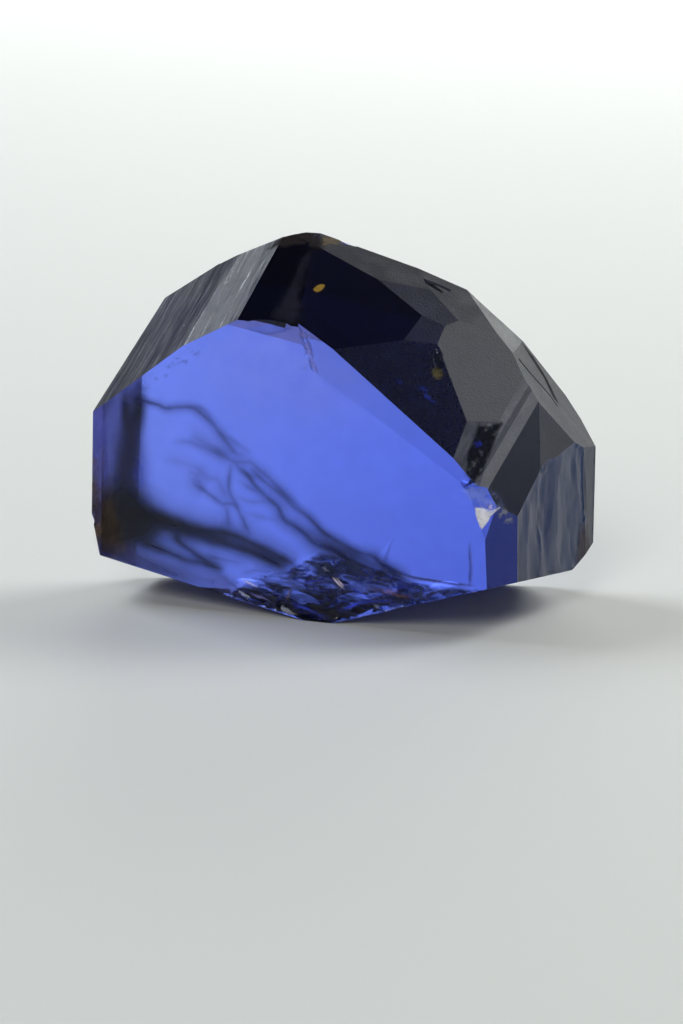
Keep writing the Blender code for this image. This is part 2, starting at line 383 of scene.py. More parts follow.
@dataclass(frozen=True)
class CrystalFinish:
    """The clear crystal: refraction, and the violet-blue it takes from light that passes through it."""

    ior: float = 1.69
    absorption: Colour = (0.05, 0.27, 0.93)
    density: float = 50.0
    mirror_tint: Colour = (0.34, 0.36, 0.46)
    bloom_roughness: float = 0.6
    bloom_ior: float = 1.6
    relief: float = 0.00002
    blotches: float = 420.0
    dust: float = 5200.0
    fine_pattern: tuple[float, float, float] = (2400.0, 5.0, 0.75)
    fine_rise: Spot = (0.37, 0.63)
    band_pattern: tuple[float, float, float] = (420.0, 3.0, 0.6)
    band_rise: Spot = (0.42, 0.58)
    line_stretch: float = 0.08
    wave_pattern: tuple[float, float, float] = (320.0, 3.0, 0.45)
    wave_turn: tuple[float, float, float] = (0.3, 0.5, 0.2)
    wave_stretch: tuple[float, float, float] = (1.0, 1.0, 0.45)
    wave_size: float = 7.0

    def material(self) -> bpy.types.Material:
        """Builds the crystal's material.

        Returns:
            The material, which reads each facet's finish from the mesh.
        """
        made, tree = Tree.of_material("tanzanite_crystal")
        blotchy, dusty = UnevenGrain.place(tree, self.blotches, self.dust)
        grain, lines = tree.read("facet_grain"), tree.read("facet_lines")
        fine, band = self.growth_lines(tree)
        pale = tree.math("MULTIPLY_ADD", blotchy, 0.8, 0.6)
        pits = tree.math("MULTIPLY", grain, tree.math("MULTIPLY_ADD", dusty, 0.16, -0.08))
        streak = tree.math("MULTIPLY_ADD", band, -0.20, tree.math("MULTIPLY_ADD", fine, -0.32, 0.26))
        pits = tree.math("MULTIPLY_ADD", lines, streak, pits)
        bloom = tree.math("MULTIPLY", tree.read("facet_haze"), tree.math("MULTIPLY_ADD", blotchy, 0.5, 0.6))
        lined = tree.math("MULTIPLY_ADD", band, 0.6, tree.math("MULTIPLY_ADD", fine, 1.3, -0.4))
        lined = tree.math("MULTIPLY_ADD", lines, tree.math("SUBTRACT", lined, 0.55), 1.0)
        ridges = tree.math("MULTIPLY_ADD", band, 6.0, tree.math("MULTIPLY", fine, 4.0))
        height = tree.math("ADD", tree.math("MULTIPLY", grain, dusty), tree.math("MULTIPLY", lines, ridges))
        waves = tree.math("MULTIPLY", tree.read("facet_waves"), self.wave_height(tree))
        gem = tree.put("ShaderNodeBsdfPrincipled", {
            "IOR": self.ior,
            "Transmission Weight": 1.0,
            "Metallic": 0.0,
            "Specular Tint": self.mirror_tint,
            "Coat Roughness": self.bloom_roughness,
            "Coat IOR": self.bloom_ior,
            # Base colour: the facet tints, painted shade on most facets, varied by blotches where the facet
            # is grained
            "Base Color": tree.shaded(grain, tree.read("facet_tint_and_shade", True), pale),
            "Roughness": tree.math("ADD", tree.read("facet_rough"), pits, clamp=True),
            "Coat Weight": tree.math("MULTIPLY", bloom, lined, clamp=True),
            "Normal": tree.bump(tree.math("ADD", height, waves), self.relief),
        })
        deep = tree.put("ShaderNodeVolumeAbsorption", {"Color": self.absorption, "Density": self.density})
        tree.add("ShaderNodeOutputMaterial", {"Surface": gem, "Volume": deep})
        return made

    def growth_lines(self, tree: Tree) -> tuple[Socket, Socket]:
        """Lays lines along the growth direction.

        Args:
            tree: the material's nodes.

        Returns:
            The fine lines and the broad bands, each 0 to 1.
        """
        run = growth()
        side = run.cross(Facet.STRIATED_RIGHT.value.facing()).normalized()
        reach = {}
        for number, direction in enumerate((side, run * self.line_stretch)):
            dot = tree.add("ShaderNodeVectorMath", {0: tree.place(), 1: direction}, operation="DOT_PRODUCT")
            reach[number] = dot.outputs["Value"]
        spread = tree.put("ShaderNodeCombineXYZ", reach)
        fine, band = tree.noise(spread, *self.fine_pattern), tree.noise(spread, *self.band_pattern)
        return tree.ramp(fine, *self.fine_rise), tree.ramp(band, *self.band_rise)

    def wave_height(self, tree: Tree) -> Socket:
        """Lays faint ripples of a shell-shaped break.

        Args:
            tree: the material's nodes.

        Returns:
            Their height.
        """
        shape = {"Vector": tree.place(), "Rotation": self.wave_turn, "Scale": self.wave_stretch}
        bent = tree.put("ShaderNodeMapping", shape)
        return tree.math("MULTIPLY", tree.noise(bent, *self.wave_pattern), self.wave_size)


@dataclass(frozen=True)
class Shells:
    """Bowls of a shell-shaped break: each is a low dish, and they meet in sharp ridges."""

    SHALLOWEST = 0.35

    spacing_mm: float
    depth_mm: float
    stretch: float
    turn: float
    seed: int

    def depth(self, spots: np.ndarray) -> np.ndarray:
        """How deep the break is.

        Args:
            spots: the spots of the facet's plane, two columns of mm.

        Returns:
            The depth at each spot, in mm.
        """
        turned = spots @ rotation(self.turn) / (self.spacing_mm * self.stretch, self.spacing_mm)
        draw = np.random.default_rng(self.seed)
        low, high = turned.min(axis=0) - 1.0, turned.max(axis=0) + 1.0
        count = max(4, int((high - low).prod()))
        seeds = draw.uniform(low, high, (count, 2))
        deep = draw.uniform(self.SHALLOWEST, 1.0, count)
        far = np.linalg.norm(turned[:, None, :] - seeds[None], axis=2)
        near = far.argmin(axis=1)
        reach = far[np.arange(len(far)), near]
        return self.depth_mm * deep[near] * np.clip(1.0 - reach**2, 0.0, 1.0)


class Hills:
    """Smooth random hills over a plane, 0 to 1 and the same each time.

    Spots that are moved by a fixed distance read other hills of the same table.
    """

    SIDE = 64
    SHIFT = 13.7
    CONTRAST = 1.35

    def __init__(self, seed: int) -> None:
        """Draws the heights from a seed."""
        self.table = np.random.default_rng(seed).uniform(0.0, 1.0, (self.SIDE, self.SIDE))

    def at(self, spots: np.ndarray, size: Spot, octaves: int) -> np.ndarray:
        """Reads the height at spots.

        Args:
            spots: two columns of mm.
            size: the largest hills' length along both columns, in mm.
            octaves: how many finer sets of hills lie on them.

        Returns:
            The height at each spot.
        """
        total, weight = np.zeros(len(spots)), 0.0
        for octave in range(octaves):
            place = spots / np.array(size) * 2.0**octave + self.SHIFT * octave
            cell = np.floor(place).astype(int)
            (x, y), (a, b) = cell.T % self.SIDE, eased(place - cell).T
            right, top = (x + 1) % self.SIDE, (y + 1) % self.SIDE
            low = blend(self.table[x, y], self.table[right, y], a)
            high = blend(self.table[x, top], self.table[right, top], a)
            total += blend(low, high, b) * 0.5**octave
            weight += 0.5**octave
        return np.clip((total / weight - 0.5) * self.CONTRAST + 0.5, 0.0, 1.0)


class FacetedMesh:
    """The solid's mesh with each face numbered by its facet, and the cuts that make it finer."""

    def __init__(self, mesh: bpy.types.Mesh, weld_mm: float, flat_degrees: float) -> None:
        """Reads the mesh, joins its flat triangles and numbers its faces.

        Args:
            mesh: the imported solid's mesh.
            weld_mm: points this close together become one.
            flat_degrees: faces that turn less than this become one.
        """
        self.shape = bmesh.new()
        self.shape.from_mesh(mesh)
        verts, edges = self.shape.verts, self.shape.edges
        bmesh.ops.remove_doubles(self.shape, verts=verts, dist=weld_mm * MM)
        flat = math.radians(flat_degrees)
        bmesh.ops.dissolve_limit(self.shape, angle_limit=flat, verts=verts, edges=edges)
        self.kind = self.shape.faces.layers.int.new("facet")
        for face in self.shape.faces:
            middle = face.calc_center_median() / MM
            face[self.kind] = FACETS.index(min(FACETS, key=lambda facet: facet.value.depth(middle)))

    def facet(self, face: bmesh.types.BMFace) -> Facet:
        """The facet that a face is part of."""
        return FACETS[face[self.kind]]

    def inner(self, facet: Facet) -> list[bmesh.types.BMVert]:
        """The points that only faces of this facet meet."""
        verts = self.shape.verts
        return [v for v in verts if v.link_faces and all(self.facet(face) is facet for face in v.link_faces)]

    def cut(self, faces: list[bmesh.types.BMFace], place: Vector, square: Vector) -> None:
        """Cuts faces where they cross a plane.

        Args:
            faces: the faces to cut.
            place: a point of the plane, in metres.
            square: the direction square to it.
        """
        edges = {edge for face in faces for edge in face.edges}
        verts = {vert for face in faces for vert in face.verts}
        geom = [*verts, *edges, *faces]
        bmesh.ops.bisect_plane(self.shape, geom=geom, dist=ON_PLANE, plane_co=place, plane_no=square)

    def strips(self, chosen: Callable[[bmesh.types.BMFace], bool], square: Vector, step: float) -> None:
        """Cuts the chosen faces into strips.

        Args:
            chosen: tells whether a face is to be cut.
            square: the direction across the strips.
            step: their width in mm.
        """
        ends = [v.co.dot(square) / MM for face in self.shape.faces if chosen(face) for v in face.verts]
        for place in np.arange(min(ends) + step * 0.5, max(ends), step):
            at = place * MM
            faces = []
            for face in filter(chosen, self.shape.faces):
                reach = [v.co.dot(square) for v in face.verts]
                if min(reach) < at < max(reach):
                    faces.append(face)
            if faces:
                self.cut(faces, square * at, square)

    def shade(self) -> None:
        """Smooths the rippled faces and keeps every facet's rim sharp."""
        for face in self.shape.faces:
            face.smooth = self.facet(face) in SOFT_FACETS
        for edge in self.shape.edges:
            kinds = {self.facet(face) for face in edge.link_faces}
            edge.smooth = len(kinds) == 1 and kinds <= set(SOFT_FACETS)


@dataclass
class Crystal:
    """The stone's body, made from the solid with its facets named and its breaks and lines worked finer."""

    finish: CrystalFinish = field(default_factory=CrystalFinish)
    weld_mm: float = 0.0005
    flat_degrees: float = 0.3
    line_step_mm: float = 0.13
    line_depth_mm: float = 0.030
    line_count: int = 1200
    line_widths: tuple[tuple[int, float], ...] = ((1, 0.7), (3, 0.35), (10, 0.25))
    line_seed: int = 7
    break_step_mm: float = 0.22
    break_top_mm: float = -9.2
    break_margin_mm: float = 1.5
    beyond_break_mm: float = -40.0
    break_fade_mm: float = 0.35
    break_line: tuple[Spot, ...] = (
        (-9.5, -15.0), (-7.3, -13.3), (-5.5, -12.5), (-3.2, -11.9), (-1.7, -10.9), (0.0, -9.9), (2.2, -9.9),
        (4.4, -10.4), (6.6, -10.9), (8.3, -11.5), (10.1, -11.7), (12.5, -11.7), (14.9, -11.8), (17.5, -11.9),
    )
    break_bowls: tuple[Shells, ...] = (
        Shells(1.5, 0.10, 2.6, -10.0, 3), Shells(0.6, 0.05, 3.2, -16.0, 5), Shells(0.35, 0.03, 2.6, 10.0, 9),
    )
    break_roughness: float = 0.06
    break_grain: float = 0.2
    ripple_step_mm: float = 0.45
    ripple_seed: int = 11
    ripple_size: Spot = (1.9, 4.6)
    ripple_bend_mm: float = 1.6
    ripple_bend_size: Spot = (3.0, 5.0)
    ripples: tuple[tuple[Facet, float], ...] = ((Facet.RIGHT_FACE, 0.30), (Facet.RIGHT_STRIP, 0.12))
    most_eased_mm: float = 1.5
    eased: tuple[tuple[Facet, float], ...] = (
        (Facet.STRIATED_LEFT, 1.0), (Facet.STRIATED_RIGHT, 1.0), (Facet.BACK, 1.0), (Facet.BACK_TOP, 1.0),
        (Facet.BACK_LEFT, 1.0), (Facet.BACK_RIGHT, 1.0), (Facet.SLATE_LONG, 0.7), (Facet.STRIPE, 1.0),
    )

    def build(self, solid: bpy.types.Object) -> bpy.types.Object:
        """Makes the dressed stone.

        Args:
            solid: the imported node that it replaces.

        Returns:
            The stone's object.
        """
        body = FacetedMesh(solid.data, self.weld_mm, self.flat_degrees)
        for work in (self.ease_marks, self.work_lines, self.work_break, self.work_ripples):
            work(body)
        body.shade()
        mesh = finished(body.shape, "tanzanite_stone")
        self.mark_finish(mesh)
        mesh.materials.append(self.finish.material())
        return placed("tanzanite_stone", mesh)

    def ease_marks(self, body: FacetedMesh) -> None:
        """Brings the worked marks of some facets part of the way back to their planes.

        Args:
            body: the stone's mesh.
        """
        shares = dict(self.eased)
        for vert in body.shape.verts:
            facets = {body.facet(face) for face in vert.link_faces}
            if not facets or not (facets & set(LINED_FACETS) or facets <= shares.keys()):
                continue
            planes = [facet.value for facet in facets]
            square = np.array([plane.facing() for plane in planes])
            below = np.array([plane.reach for plane in planes]) - square @ np.array(vert.co / MM - MIDDLE_MM)
            share = min(shares.get(facet, 1.0) for facet in facets)
            move = np.linalg.lstsq(square, below, rcond=None)[0] * share
            if np.linalg.norm(move) < self.most_eased_mm:
                vert.co += Vector(move) * MM

    def work_lines(self, body: FacetedMesh) -> None:
        """Cuts fine growth lines into the striated facets.

        Args:
            body: the stone's mesh.
        """
        draw = np.random.default_rng(self.line_seed)
        count = self.line_count
        places = np.arange(count)
        for facet in LINED_FACETS:
            out = facet.value.facing()
            side = growth().cross(out).normalized()
            body.strips(lambda face: body.facet(face) is facet, side, self.line_step_mm)
            rows = np.zeros(count)
            for wide, deep in self.line_widths:
                depths = draw.uniform(0.0, deep, count // wide + 1)
                rows += np.interp(places, np.arange(0, count + wide, wide), depths)
            for vert in body.inner(facet):
                row = int(round(vert.co.dot(side) / MM / self.line_step_mm)) % count
                vert.co -= out * float(rows[row]) * self.line_depth_mm * MM

    def below_line(self, spot: Spot) -> float:
        """Measures how far a spot lies below the upper rim of the broken foot.

        Args:
            spot: a spot of the window.

        Returns:
            The distance in mm, negative above the rim.
        """
        across, up = np.array(self.break_line).T
        beyond = self.beyond_break_mm
        return float(np.interp(spot[0], across, up, left=beyond, right=beyond)) - spot[1]

    def work_break(self, body: FacetedMesh) -> None:
        """Works the shell-shaped break at the foot of the window.

        Args:
            body: the stone's mesh.
        """
        pane = [face for face in body.shape.faces if body.facet(face) is Facet.WINDOW]
        body.cut(pane, WINDOW.point((0.0, self.break_top_mm)) * MM, WINDOW.up)

        def in_foot(face: bmesh.types.BMFace) -> bool:
            """Tells whether a face lies in the foot of the window.

            Args:
                face: a face of the stone.

            Returns:
                Whether it does.
            """
            if body.facet(face) is not Facet.WINDOW:
                return False
            spot = WINDOW.spot(face.calc_center_median() / MM)
            return spot[1] < self.break_top_mm and self.below_line(spot) > -self.break_margin_mm

        for direction in (WINDOW.across, WINDOW.up):
            body.strips(in_foot, direction, self.break_step_mm)
        loose = body.inner(Facet.WINDOW)
        spots = np.array([WINDOW.spot(v.co / MM) for v in loose])
        below = np.array([self.below_line(tuple(spot)) for spot in spots])
        deep = sum(bowls.depth(spots) for bowls in self.break_bowls)
        deep *= rise(below, 0.0, self.break_fade_mm)
        for vert, depth in zip(loose, deep):
            vert.co -= WINDOW.out * float(depth) * MM

    def work_ripples(self, body: FacetedMesh) -> None:
        """Works the low ripples of the right face.

        Args:
            body: the stone's mesh.
        """
        hills = Hills(self.ripple_seed)
        for facet, depth in self.ripples:
            side, up, out = facet.value.axes()
            for direction in (side, up):
                body.strips(lambda face: body.facet(face) is facet, direction, self.ripple_step_mm)
            inner = body.inner(facet)
            spots = np.array([(v.co.dot(side) / MM, v.co.dot(up) / MM) for v in inner])
            bent = spots + self.ripple_bend_mm * hills.at(spots + 40.0, self.ripple_bend_size, 1)[:, None]
            deep = hills.at(bent, self.ripple_size, 3) ** 2
            for vert, share in zip(inner, deep):
                vert.co -= out * depth * float(share) * MM

    def mark_finish(self, mesh: bpy.types.Mesh) -> None:
        """Writes each face's finish on the mesh, with the tints that are painted shade on most facets.

        Args:
            mesh: the stone's mesh, with its facet numbers.
        """
        kinds = np.empty(len(mesh.polygons), np.int32)
        mesh.attributes["facet"].data.foreach_get("value", kinds)
        rows = []
        for face in mesh.polygons:
            facet = FACETS[kinds[face.index]]
            look = facet.value
            rough, grain = look.roughness, look.grain
            if facet is Facet.WINDOW and self.below_line(WINDOW.spot(face.center / MM)) > 0.0:
                rough, grain = self.break_roughness, self.break_grain
            rows.append([*look.tint_and_shade, 1.0, rough, look.haze, grain, look.lines, look.waves])
        table = np.array(rows)
        tint_and_shade = mesh.attributes.new("facet_tint_and_shade", "FLOAT_COLOR", "FACE")
        tint_and_shade.data.foreach_set("color", table[:, :4].ravel())
        for number, name in enumerate(("rough", "haze", "grain", "lines", "waves")):
            value = mesh.attributes.new(f"facet_{name}", "FLOAT", "FACE")
            value.data.foreach_set("value", np.ascontiguousarray(table[:, 4 + number]))


class SmokeAndLight(Enum):
    """Colours of the stains inside the stone and on it, and of painted glow, glints and shade."""

    # Pearl light and sheen paint only glow and glints; blue also paints glow and glints, lilac glints, and
    # ink painted shade
    INK = (0.004, 0.005, 0.012)
    UMBER = (0.020, 0.014, 0.014)
    NAVY = (0.006, 0.012, 0.075)
    VEIN = (0.006, 0.018, 0.150)
    BLUE = (0.060, 0.090, 0.800)
    RUST = (0.420, 0.170, 0.060)
    TAN = (0.120, 0.085, 0.060)
    CREAM = (0.420, 0.290, 0.190)
    MAUVE = (0.075, 0.065, 0.200)
    LILAC = (0.300, 0.280, 0.700)
    OCHRE = (0.330, 0.200, 0.030)
    OLIVE = (0.110, 0.090, 0.035)
    BEIGE = (0.200, 0.160, 0.110)
    WHITE = (0.950, 0.930, 0.960)
    PEARL = (0.950, 0.820, 0.930)
    SHEEN = (0.300, 0.380, 0.850)
    GREY = (0.260, 0.280, 0.280)
    SLATE = (0.030, 0.030, 0.048)


@dataclass(frozen=True)
class SmokeAndLightFinish:
    """A stain, painted glow, glint or shade with soft edges, its colour and thickness read from the mesh."""

    name: str
    roughness: float = 1.0
    break_up: float = 0.0
    blotches: float = 500.0
    dust_to_blotches: float = 8.0
    relief: float = 0.00003

    def material(self) -> bpy.types.Material:
        """Builds the stain's material.

        Returns:
            The material.
        """
        made, tree = Tree.of_material(self.name)
        blotchy, dusty = UnevenGrain.place(tree, self.blotches, self.blotches * self.dust_to_blotches)
        lit = tree.math("MULTIPLY_ADD", blotchy, 0.5, 0.75)
        torn = tree.math("MULTIPLY_ADD", blotchy, -self.break_up, 1.0)
        stain = tree.put("ShaderNodeBsdfPrincipled", {
            "Roughness": self.roughness,
            "Specular IOR Level": 0.1,
            "Base Color": tree.shaded(1.0, tree.read("smoke_and_light_colour", True), lit),
            "Alpha": tree.math("MULTIPLY", tree.read("smoke_and_light_thickness"), torn, clamp=True),
            "Normal": tree.bump(dusty, self.relief),
        })
        tree.add("ShaderNodeOutputMaterial", {"Surface": stain})
        return made


# Faces of a stain or of painted light thinner than this stay clear and are left out
THINNEST = 0.012


def write_smoke_and_light(mesh: bpy.types.Mesh, colour: np.ndarray, thick: np.ndarray) -> None:
    """Writes the colour and thickness of a stain or of painted light on a mesh's points.

    Args:
        mesh: the stain's mesh.
        colour: a row of three numbers for each point.
        thick: a number from 0 to 1 for each point.
    """
    tone = mesh.attributes.new("smoke_and_light_colour", "FLOAT_COLOR", "POINT")
    tone.data.foreach_set("color", np.concatenate([colour, np.ones((len(colour), 1))], axis=1).ravel())
    mesh.attributes.new("smoke_and_light_thickness", "FLOAT", "POINT").data.foreach_set("value", thick)


def trim(mesh: bpy.types.Mesh) -> None:
    """Removes the faces of a mesh of stains or painted light that stay clear.

    Args:
        mesh: the stain's mesh.
    """
    shape = bmesh.new()
    shape.from_mesh(mesh)
    layer = shape.verts.layers.float["smoke_and_light_thickness"]
    empty = [face for face in shape.faces if max(vert[layer] for vert in face.verts) < THINNEST]
    bmesh.ops.delete(shape, geom=empty, context="FACES")
    shape.to_mesh(mesh)
    shape.free()


def curtain(across: np.ndarray, up: np.ndarray, depth_mm: float) -> bmesh.types.BMesh:
    """Hangs a sheet of square faces behind the window.

    Args:
        across: the columns' places on the window, in mm.
        up: the rows' places on the window, in mm.
        depth_mm: how far behind it the sheet hangs.

    Returns:
        The sheet.
    """
    shape = bmesh.new()
    rows = [[shape.verts.new(WINDOW.point((u, v), depth_mm) * MM) for u in across] for v in up]
    for low, high in zip(rows, rows[1:]):
        for corners in zip(low, low[1:], high[1:], high):
            shape.faces.new(corners)
    return shape


@dataclass(frozen=True)
class Cloud:
    """A soft stain or painted glow behind the window: its spot, half sizes in mm, turn in degrees, strength
    and colour.
    """

    spot: Spot
    half: Spot
    turn: float
    strength: float
    colour: SmokeAndLight

    def thickness(self, spots: np.ndarray) -> np.ndarray:
        """How thick the stain is at each spot, 0 to its strength."""
        reach = np.linalg.norm((spots - self.spot) @ rotation(self.turn) / self.half, axis=1)
        return self.strength * np.exp(-0.5 * reach**2.6)


CLOUDS = (
    # Glow of the upper window and the left side
    Cloud((-3.3, 7.7), (8.23, 4.76), -8, 0.21, SmokeAndLight.PEARL),
    Cloud((-18.6, -4.5), (0.82, 2.20), 0, 0.55, SmokeAndLight.BLUE),
    Cloud((-13.5, 0.0), (5.49, 5.49), 0, 0.05, SmokeAndLight.PEARL),
    # The dark band at the left and the smoke at its foot
    Cloud((-20.1, 1.2), (0.41, 1.56), 4, 0.9, SmokeAndLight.INK),
    Cloud((-18.7, 1.5), (0.55, 1.46), -4, 0.9, SmokeAndLight.INK),
    Cloud((-20.0, -1.6), (0.82, 2.56), -6, 0.6, SmokeAndLight.UMBER),
    Cloud((-20.4, -5.2), (0.73, 2.75), -1, 0.7, SmokeAndLight.UMBER),
    Cloud((-19.3, -1.4), (0.82, 4.03), -4, 0.85, SmokeAndLight.INK),
    Cloud((-20.1, -7.1), (2.20, 1.65), -12, 0.95, SmokeAndLight.INK),
    Cloud((-19.8, -9.0), (2.38, 1.56), -10, 1.0, SmokeAndLight.INK),
    Cloud((-18.8, -9.2), (2.10, 1.19), -12, 1.0, SmokeAndLight.INK),
    Cloud((-21.9, -9.6), (1.65, 2.38), 0, 0.85, SmokeAndLight.UMBER),
    # Smears to the right of the corner and one below it
    Cloud((-15.7, -8.9), (3.11, 0.82), -16, 0.9, SmokeAndLight.INK),
    Cloud((-11.6, -9.7), (3.11, 0.64), -14, 0.85, SmokeAndLight.NAVY),
    Cloud((-6.0, -11.1), (2.38, 0.64), -22, 0.4, SmokeAndLight.NAVY),
    Cloud((3.9, -10.5), (1.83, 0.46), -24, 0.6, SmokeAndLight.NAVY),
    Cloud((-21.2, -11.5), (1.46, 0.73), -12, 0.55, SmokeAndLight.UMBER),
    # The left margin, its pale spot, and the black corner over them
    Cloud((-22.9, -6.9), (0.55, 4.39), -1, 0.75, SmokeAndLight.TAN),
    Cloud((-23.2, -2.4), (0.37, 1.28), 4, 0.6, SmokeAndLight.UMBER),
    Cloud((-22.7, -10.0), (0.55, 0.73), 8, 1.0, SmokeAndLight.CREAM),
    Cloud((-20.2, -9.7), (2.65, 1.83), -10, 1.0, SmokeAndLight.INK),
    # Pale lower edge
    Cloud((-18.1, -12.9), (4.03, 0.73), -15, 0.8, SmokeAndLight.MAUVE),
    Cloud((-13.2, -13.7), (3.11, 0.73), -15, 0.45, SmokeAndLight.MAUVE),
    Cloud((-9.3, -14.3), (2.01, 0.55), -17, 0.45, SmokeAndLight.LILAC),
    # Specks and haze beside the band
    Cloud((-22.4, 1.0), (0.46, 0.73), -35, 0.35, SmokeAndLight.INK),
    Cloud((-21.7, 2.1), (0.64, 0.32), 40, 0.35, SmokeAndLight.INK),
    Cloud((-21.9, -0.6), (1.10, 2.38), 0, 0.22, SmokeAndLight.MAUVE),
    # The broken foot
    Cloud((1.1, -9.7), (2.38, 0.55), -27, 0.55, SmokeAndLight.INK),
    Cloud((-0.2, -11.5), (0.82, 1.01), 0, 0.6, SmokeAndLight.UMBER),
    Cloud((-2.7, -12.5), (0.37, 0.46), 0, 0.95, SmokeAndLight.INK),
    Cloud((4.6, -11.8), (2.01, 0.92), -8, 0.85, SmokeAndLight.NAVY),
    Cloud((-5.1, -14.4), (1.74, 0.73), -6, 0.75, SmokeAndLight.NAVY),
    Cloud((-0.1, -14.3), (3.02, 0.82), -4, 0.8, SmokeAndLight.NAVY),
    Cloud((7.3, -13.6), (2.01, 0.46), -5, 0.6, SmokeAndLight.NAVY),
    Cloud((2.8, -13.4), (1.65, 0.55), -30, 0.6, SmokeAndLight.NAVY),
    Cloud((7.7, -12.0), (1.65, 0.46), -25, 0.6, SmokeAndLight.NAVY),
)


@dataclass
class Veil:
    """A curtain of soft stains and painted glow that hangs behind the window."""

    name: str = "smoke_and_glow_veil"
    depth_mm: float = 2.0
    step_mm: float = 0.25
    clearance_mm: float = 0.05
    least_thickness: float = 1e-3
    across_mm: Spot = (-25.0, 16.0)
    up_mm: Spot = (-17.5, 12.0)
    clouds: tuple[Cloud, ...] = CLOUDS

    def build(self) -> bpy.types.Object:
        """Makes the curtain.

        Returns:
            Its object.
        """
        across, up = np.arange(*self.across_mm, self.step_mm), np.arange(*self.up_mm, self.step_mm)
        shape = curtain(across, up, self.depth_mm)
        for facet in Facet:
            out = facet.value.facing()
            place = (MIDDLE_MM + out * (facet.value.reach - self.clearance_mm)) * MM
            geom = [*shape.verts, *shape.edges, *shape.faces]
            plane = {"plane_co": place, "plane_no": out}
            bmesh.ops.bisect_plane(shape, geom=geom, dist=ON_SHEET_PLANE, clear_outer=True, **plane)
        mesh = finished(shape, self.name)
        self.stain(mesh)
        mesh.materials.append(SmokeAndLightFinish(f"{self.name}_finish").material())
        return placed(self.name, mesh)

    def stain(self, mesh: bpy.types.Mesh) -> None:
        """Lays the clouds one over another and trims away what stays clear.

        Args:
            mesh: the curtain's mesh.
        """
        places = np.empty(len(mesh.vertices) * 3)
        mesh.vertices.foreach_get("co", places)
        spots = np.array([WINDOW.spot(Vector(row) / MM) for row in places.reshape(-1, 3)])
        clear = np.ones(len(spots))
        colour = np.zeros((len(spots), 3))
        for cloud in self.clouds:
            thick = cloud.thickness(spots)
            colour = blend(colour, np.array(cloud.colour.value), thick[:, None])
            clear *= 1.0 - thick
        thick = 1.0 - clear
        write_smoke_and_light(mesh, colour / np.maximum(thick, self.least_thickness)[:, None], thick)
        trim(mesh)


@dataclass
class BrokenVeil:
    """Dark splinters just behind the broken foot, with clear gaps that let the blue through and a painted
    blue highlight along their creases.
    """

    name: str = "foot_splinters"
    depth_mm: float = 0.55
    step_mm: float = 0.11
    rim_mm: float = 0.5
    least_depth_mm: float = 0.02
    seed: int = 21
    lean: float = -11.0
    bend_mm: Spot = (1.6, 1.1)
    bend_size: Spot = (2.6, 2.0)
    patch_size: Spot = (3.4, 1.5)
    patch_middle: float = 0.34
    patch_contrast: float = 3.0
    thickness: float = 0.42
    thickest: float = 0.98
    crease_size: Spot = (2.8, 0.62)
    gap_rise: Spot = (0.86, 0.12)
    gap_clears: float = 0.9
    ink_size: Spot = (1.8, 0.9)
    ink_from: float = 0.45
    ink_contrast: float = 2.2
    most_ink: float = 0.8
    highlight_rise: Spot = (0.76, 0.08)
    most_highlight: float = 0.4
    across_mm: Spot = (-9.8, 17.6)
    up_mm: Spot = (-17.4, -9.0)

    def build(self, crystal: Crystal) -> bpy.types.Object:
        """Makes the splinters.

        Args:
            crystal: tells where the broken foot begins.

        Returns:
            Their object.
        """
        across, up = np.arange(*self.across_mm, self.step_mm), np.arange(*self.up_mm, self.step_mm)
        mesh = finished(curtain(across, up, self.depth_mm), self.name)
        spots = np.array([(u, v) for v in up for u in across])
        below = np.array([crystal.below_line(tuple(spot)) for spot in spots])
        points = [WINDOW.point(spot, self.depth_mm) for spot in spots]
        deep = np.array([min(facet.value.depth(point) for facet in Facet) for point in points])
        turned = spots @ rotation(self.lean)
        hills = Hills(self.seed)
        bent = turned + (hills.at(turned + 9.0, self.bend_size, 3)[:, None] - 0.5) * self.bend_mm
        patch = self.patch_contrast * (hills.at(bent, self.patch_size, 5) - self.patch_middle)
        crease = 1.0 - np.abs(2.0 * hills.at(bent + 31.0, self.crease_size, 4) - 1.0)
        gap = rise(crease, *self.gap_rise)
        thick = np.clip(self.thickness + patch, 0.0, self.thickest) * (1.0 - self.gap_clears * gap)
        thick *= eased(rise(below, 0.0, self.rim_mm)) * (deep > self.least_depth_mm)
        inky = (hills.at(bent + 55.0, self.ink_size, 4) - self.ink_from) * self.ink_contrast
        share = np.clip(inky, 0.0, self.most_ink)[:, None]
        navy, ink, blue = (np.array(smoke.value) for smoke in (SmokeAndLight.NAVY, SmokeAndLight.INK, SmokeAndLight.BLUE))
        # Painted highlight: blue laid along the creases, next to the gaps
        lit = rise(crease, *self.highlight_rise)[:, None] * self.most_highlight
        write_smoke_and_light(mesh, blend(blend(navy, ink, share), blue, lit), thick)
        trim(mesh)
        mesh.materials.append(SmokeAndLightFinish("splinter_smoke_and_highlight", break_up=0.2, blotches=900.0).material())
        return placed(self.name, mesh)


@dataclass(frozen=True)
class VeinOrGlint:
    """One smoky vein or painted glint streak: its depth, its course on the window, and its half width and
    strength at both ends.
    """

    depth: float
    course: tuple[Spot, ...]
    width: Spot
    strength: Spot
    colour: SmokeAndLight = SmokeAndLight.VEIN


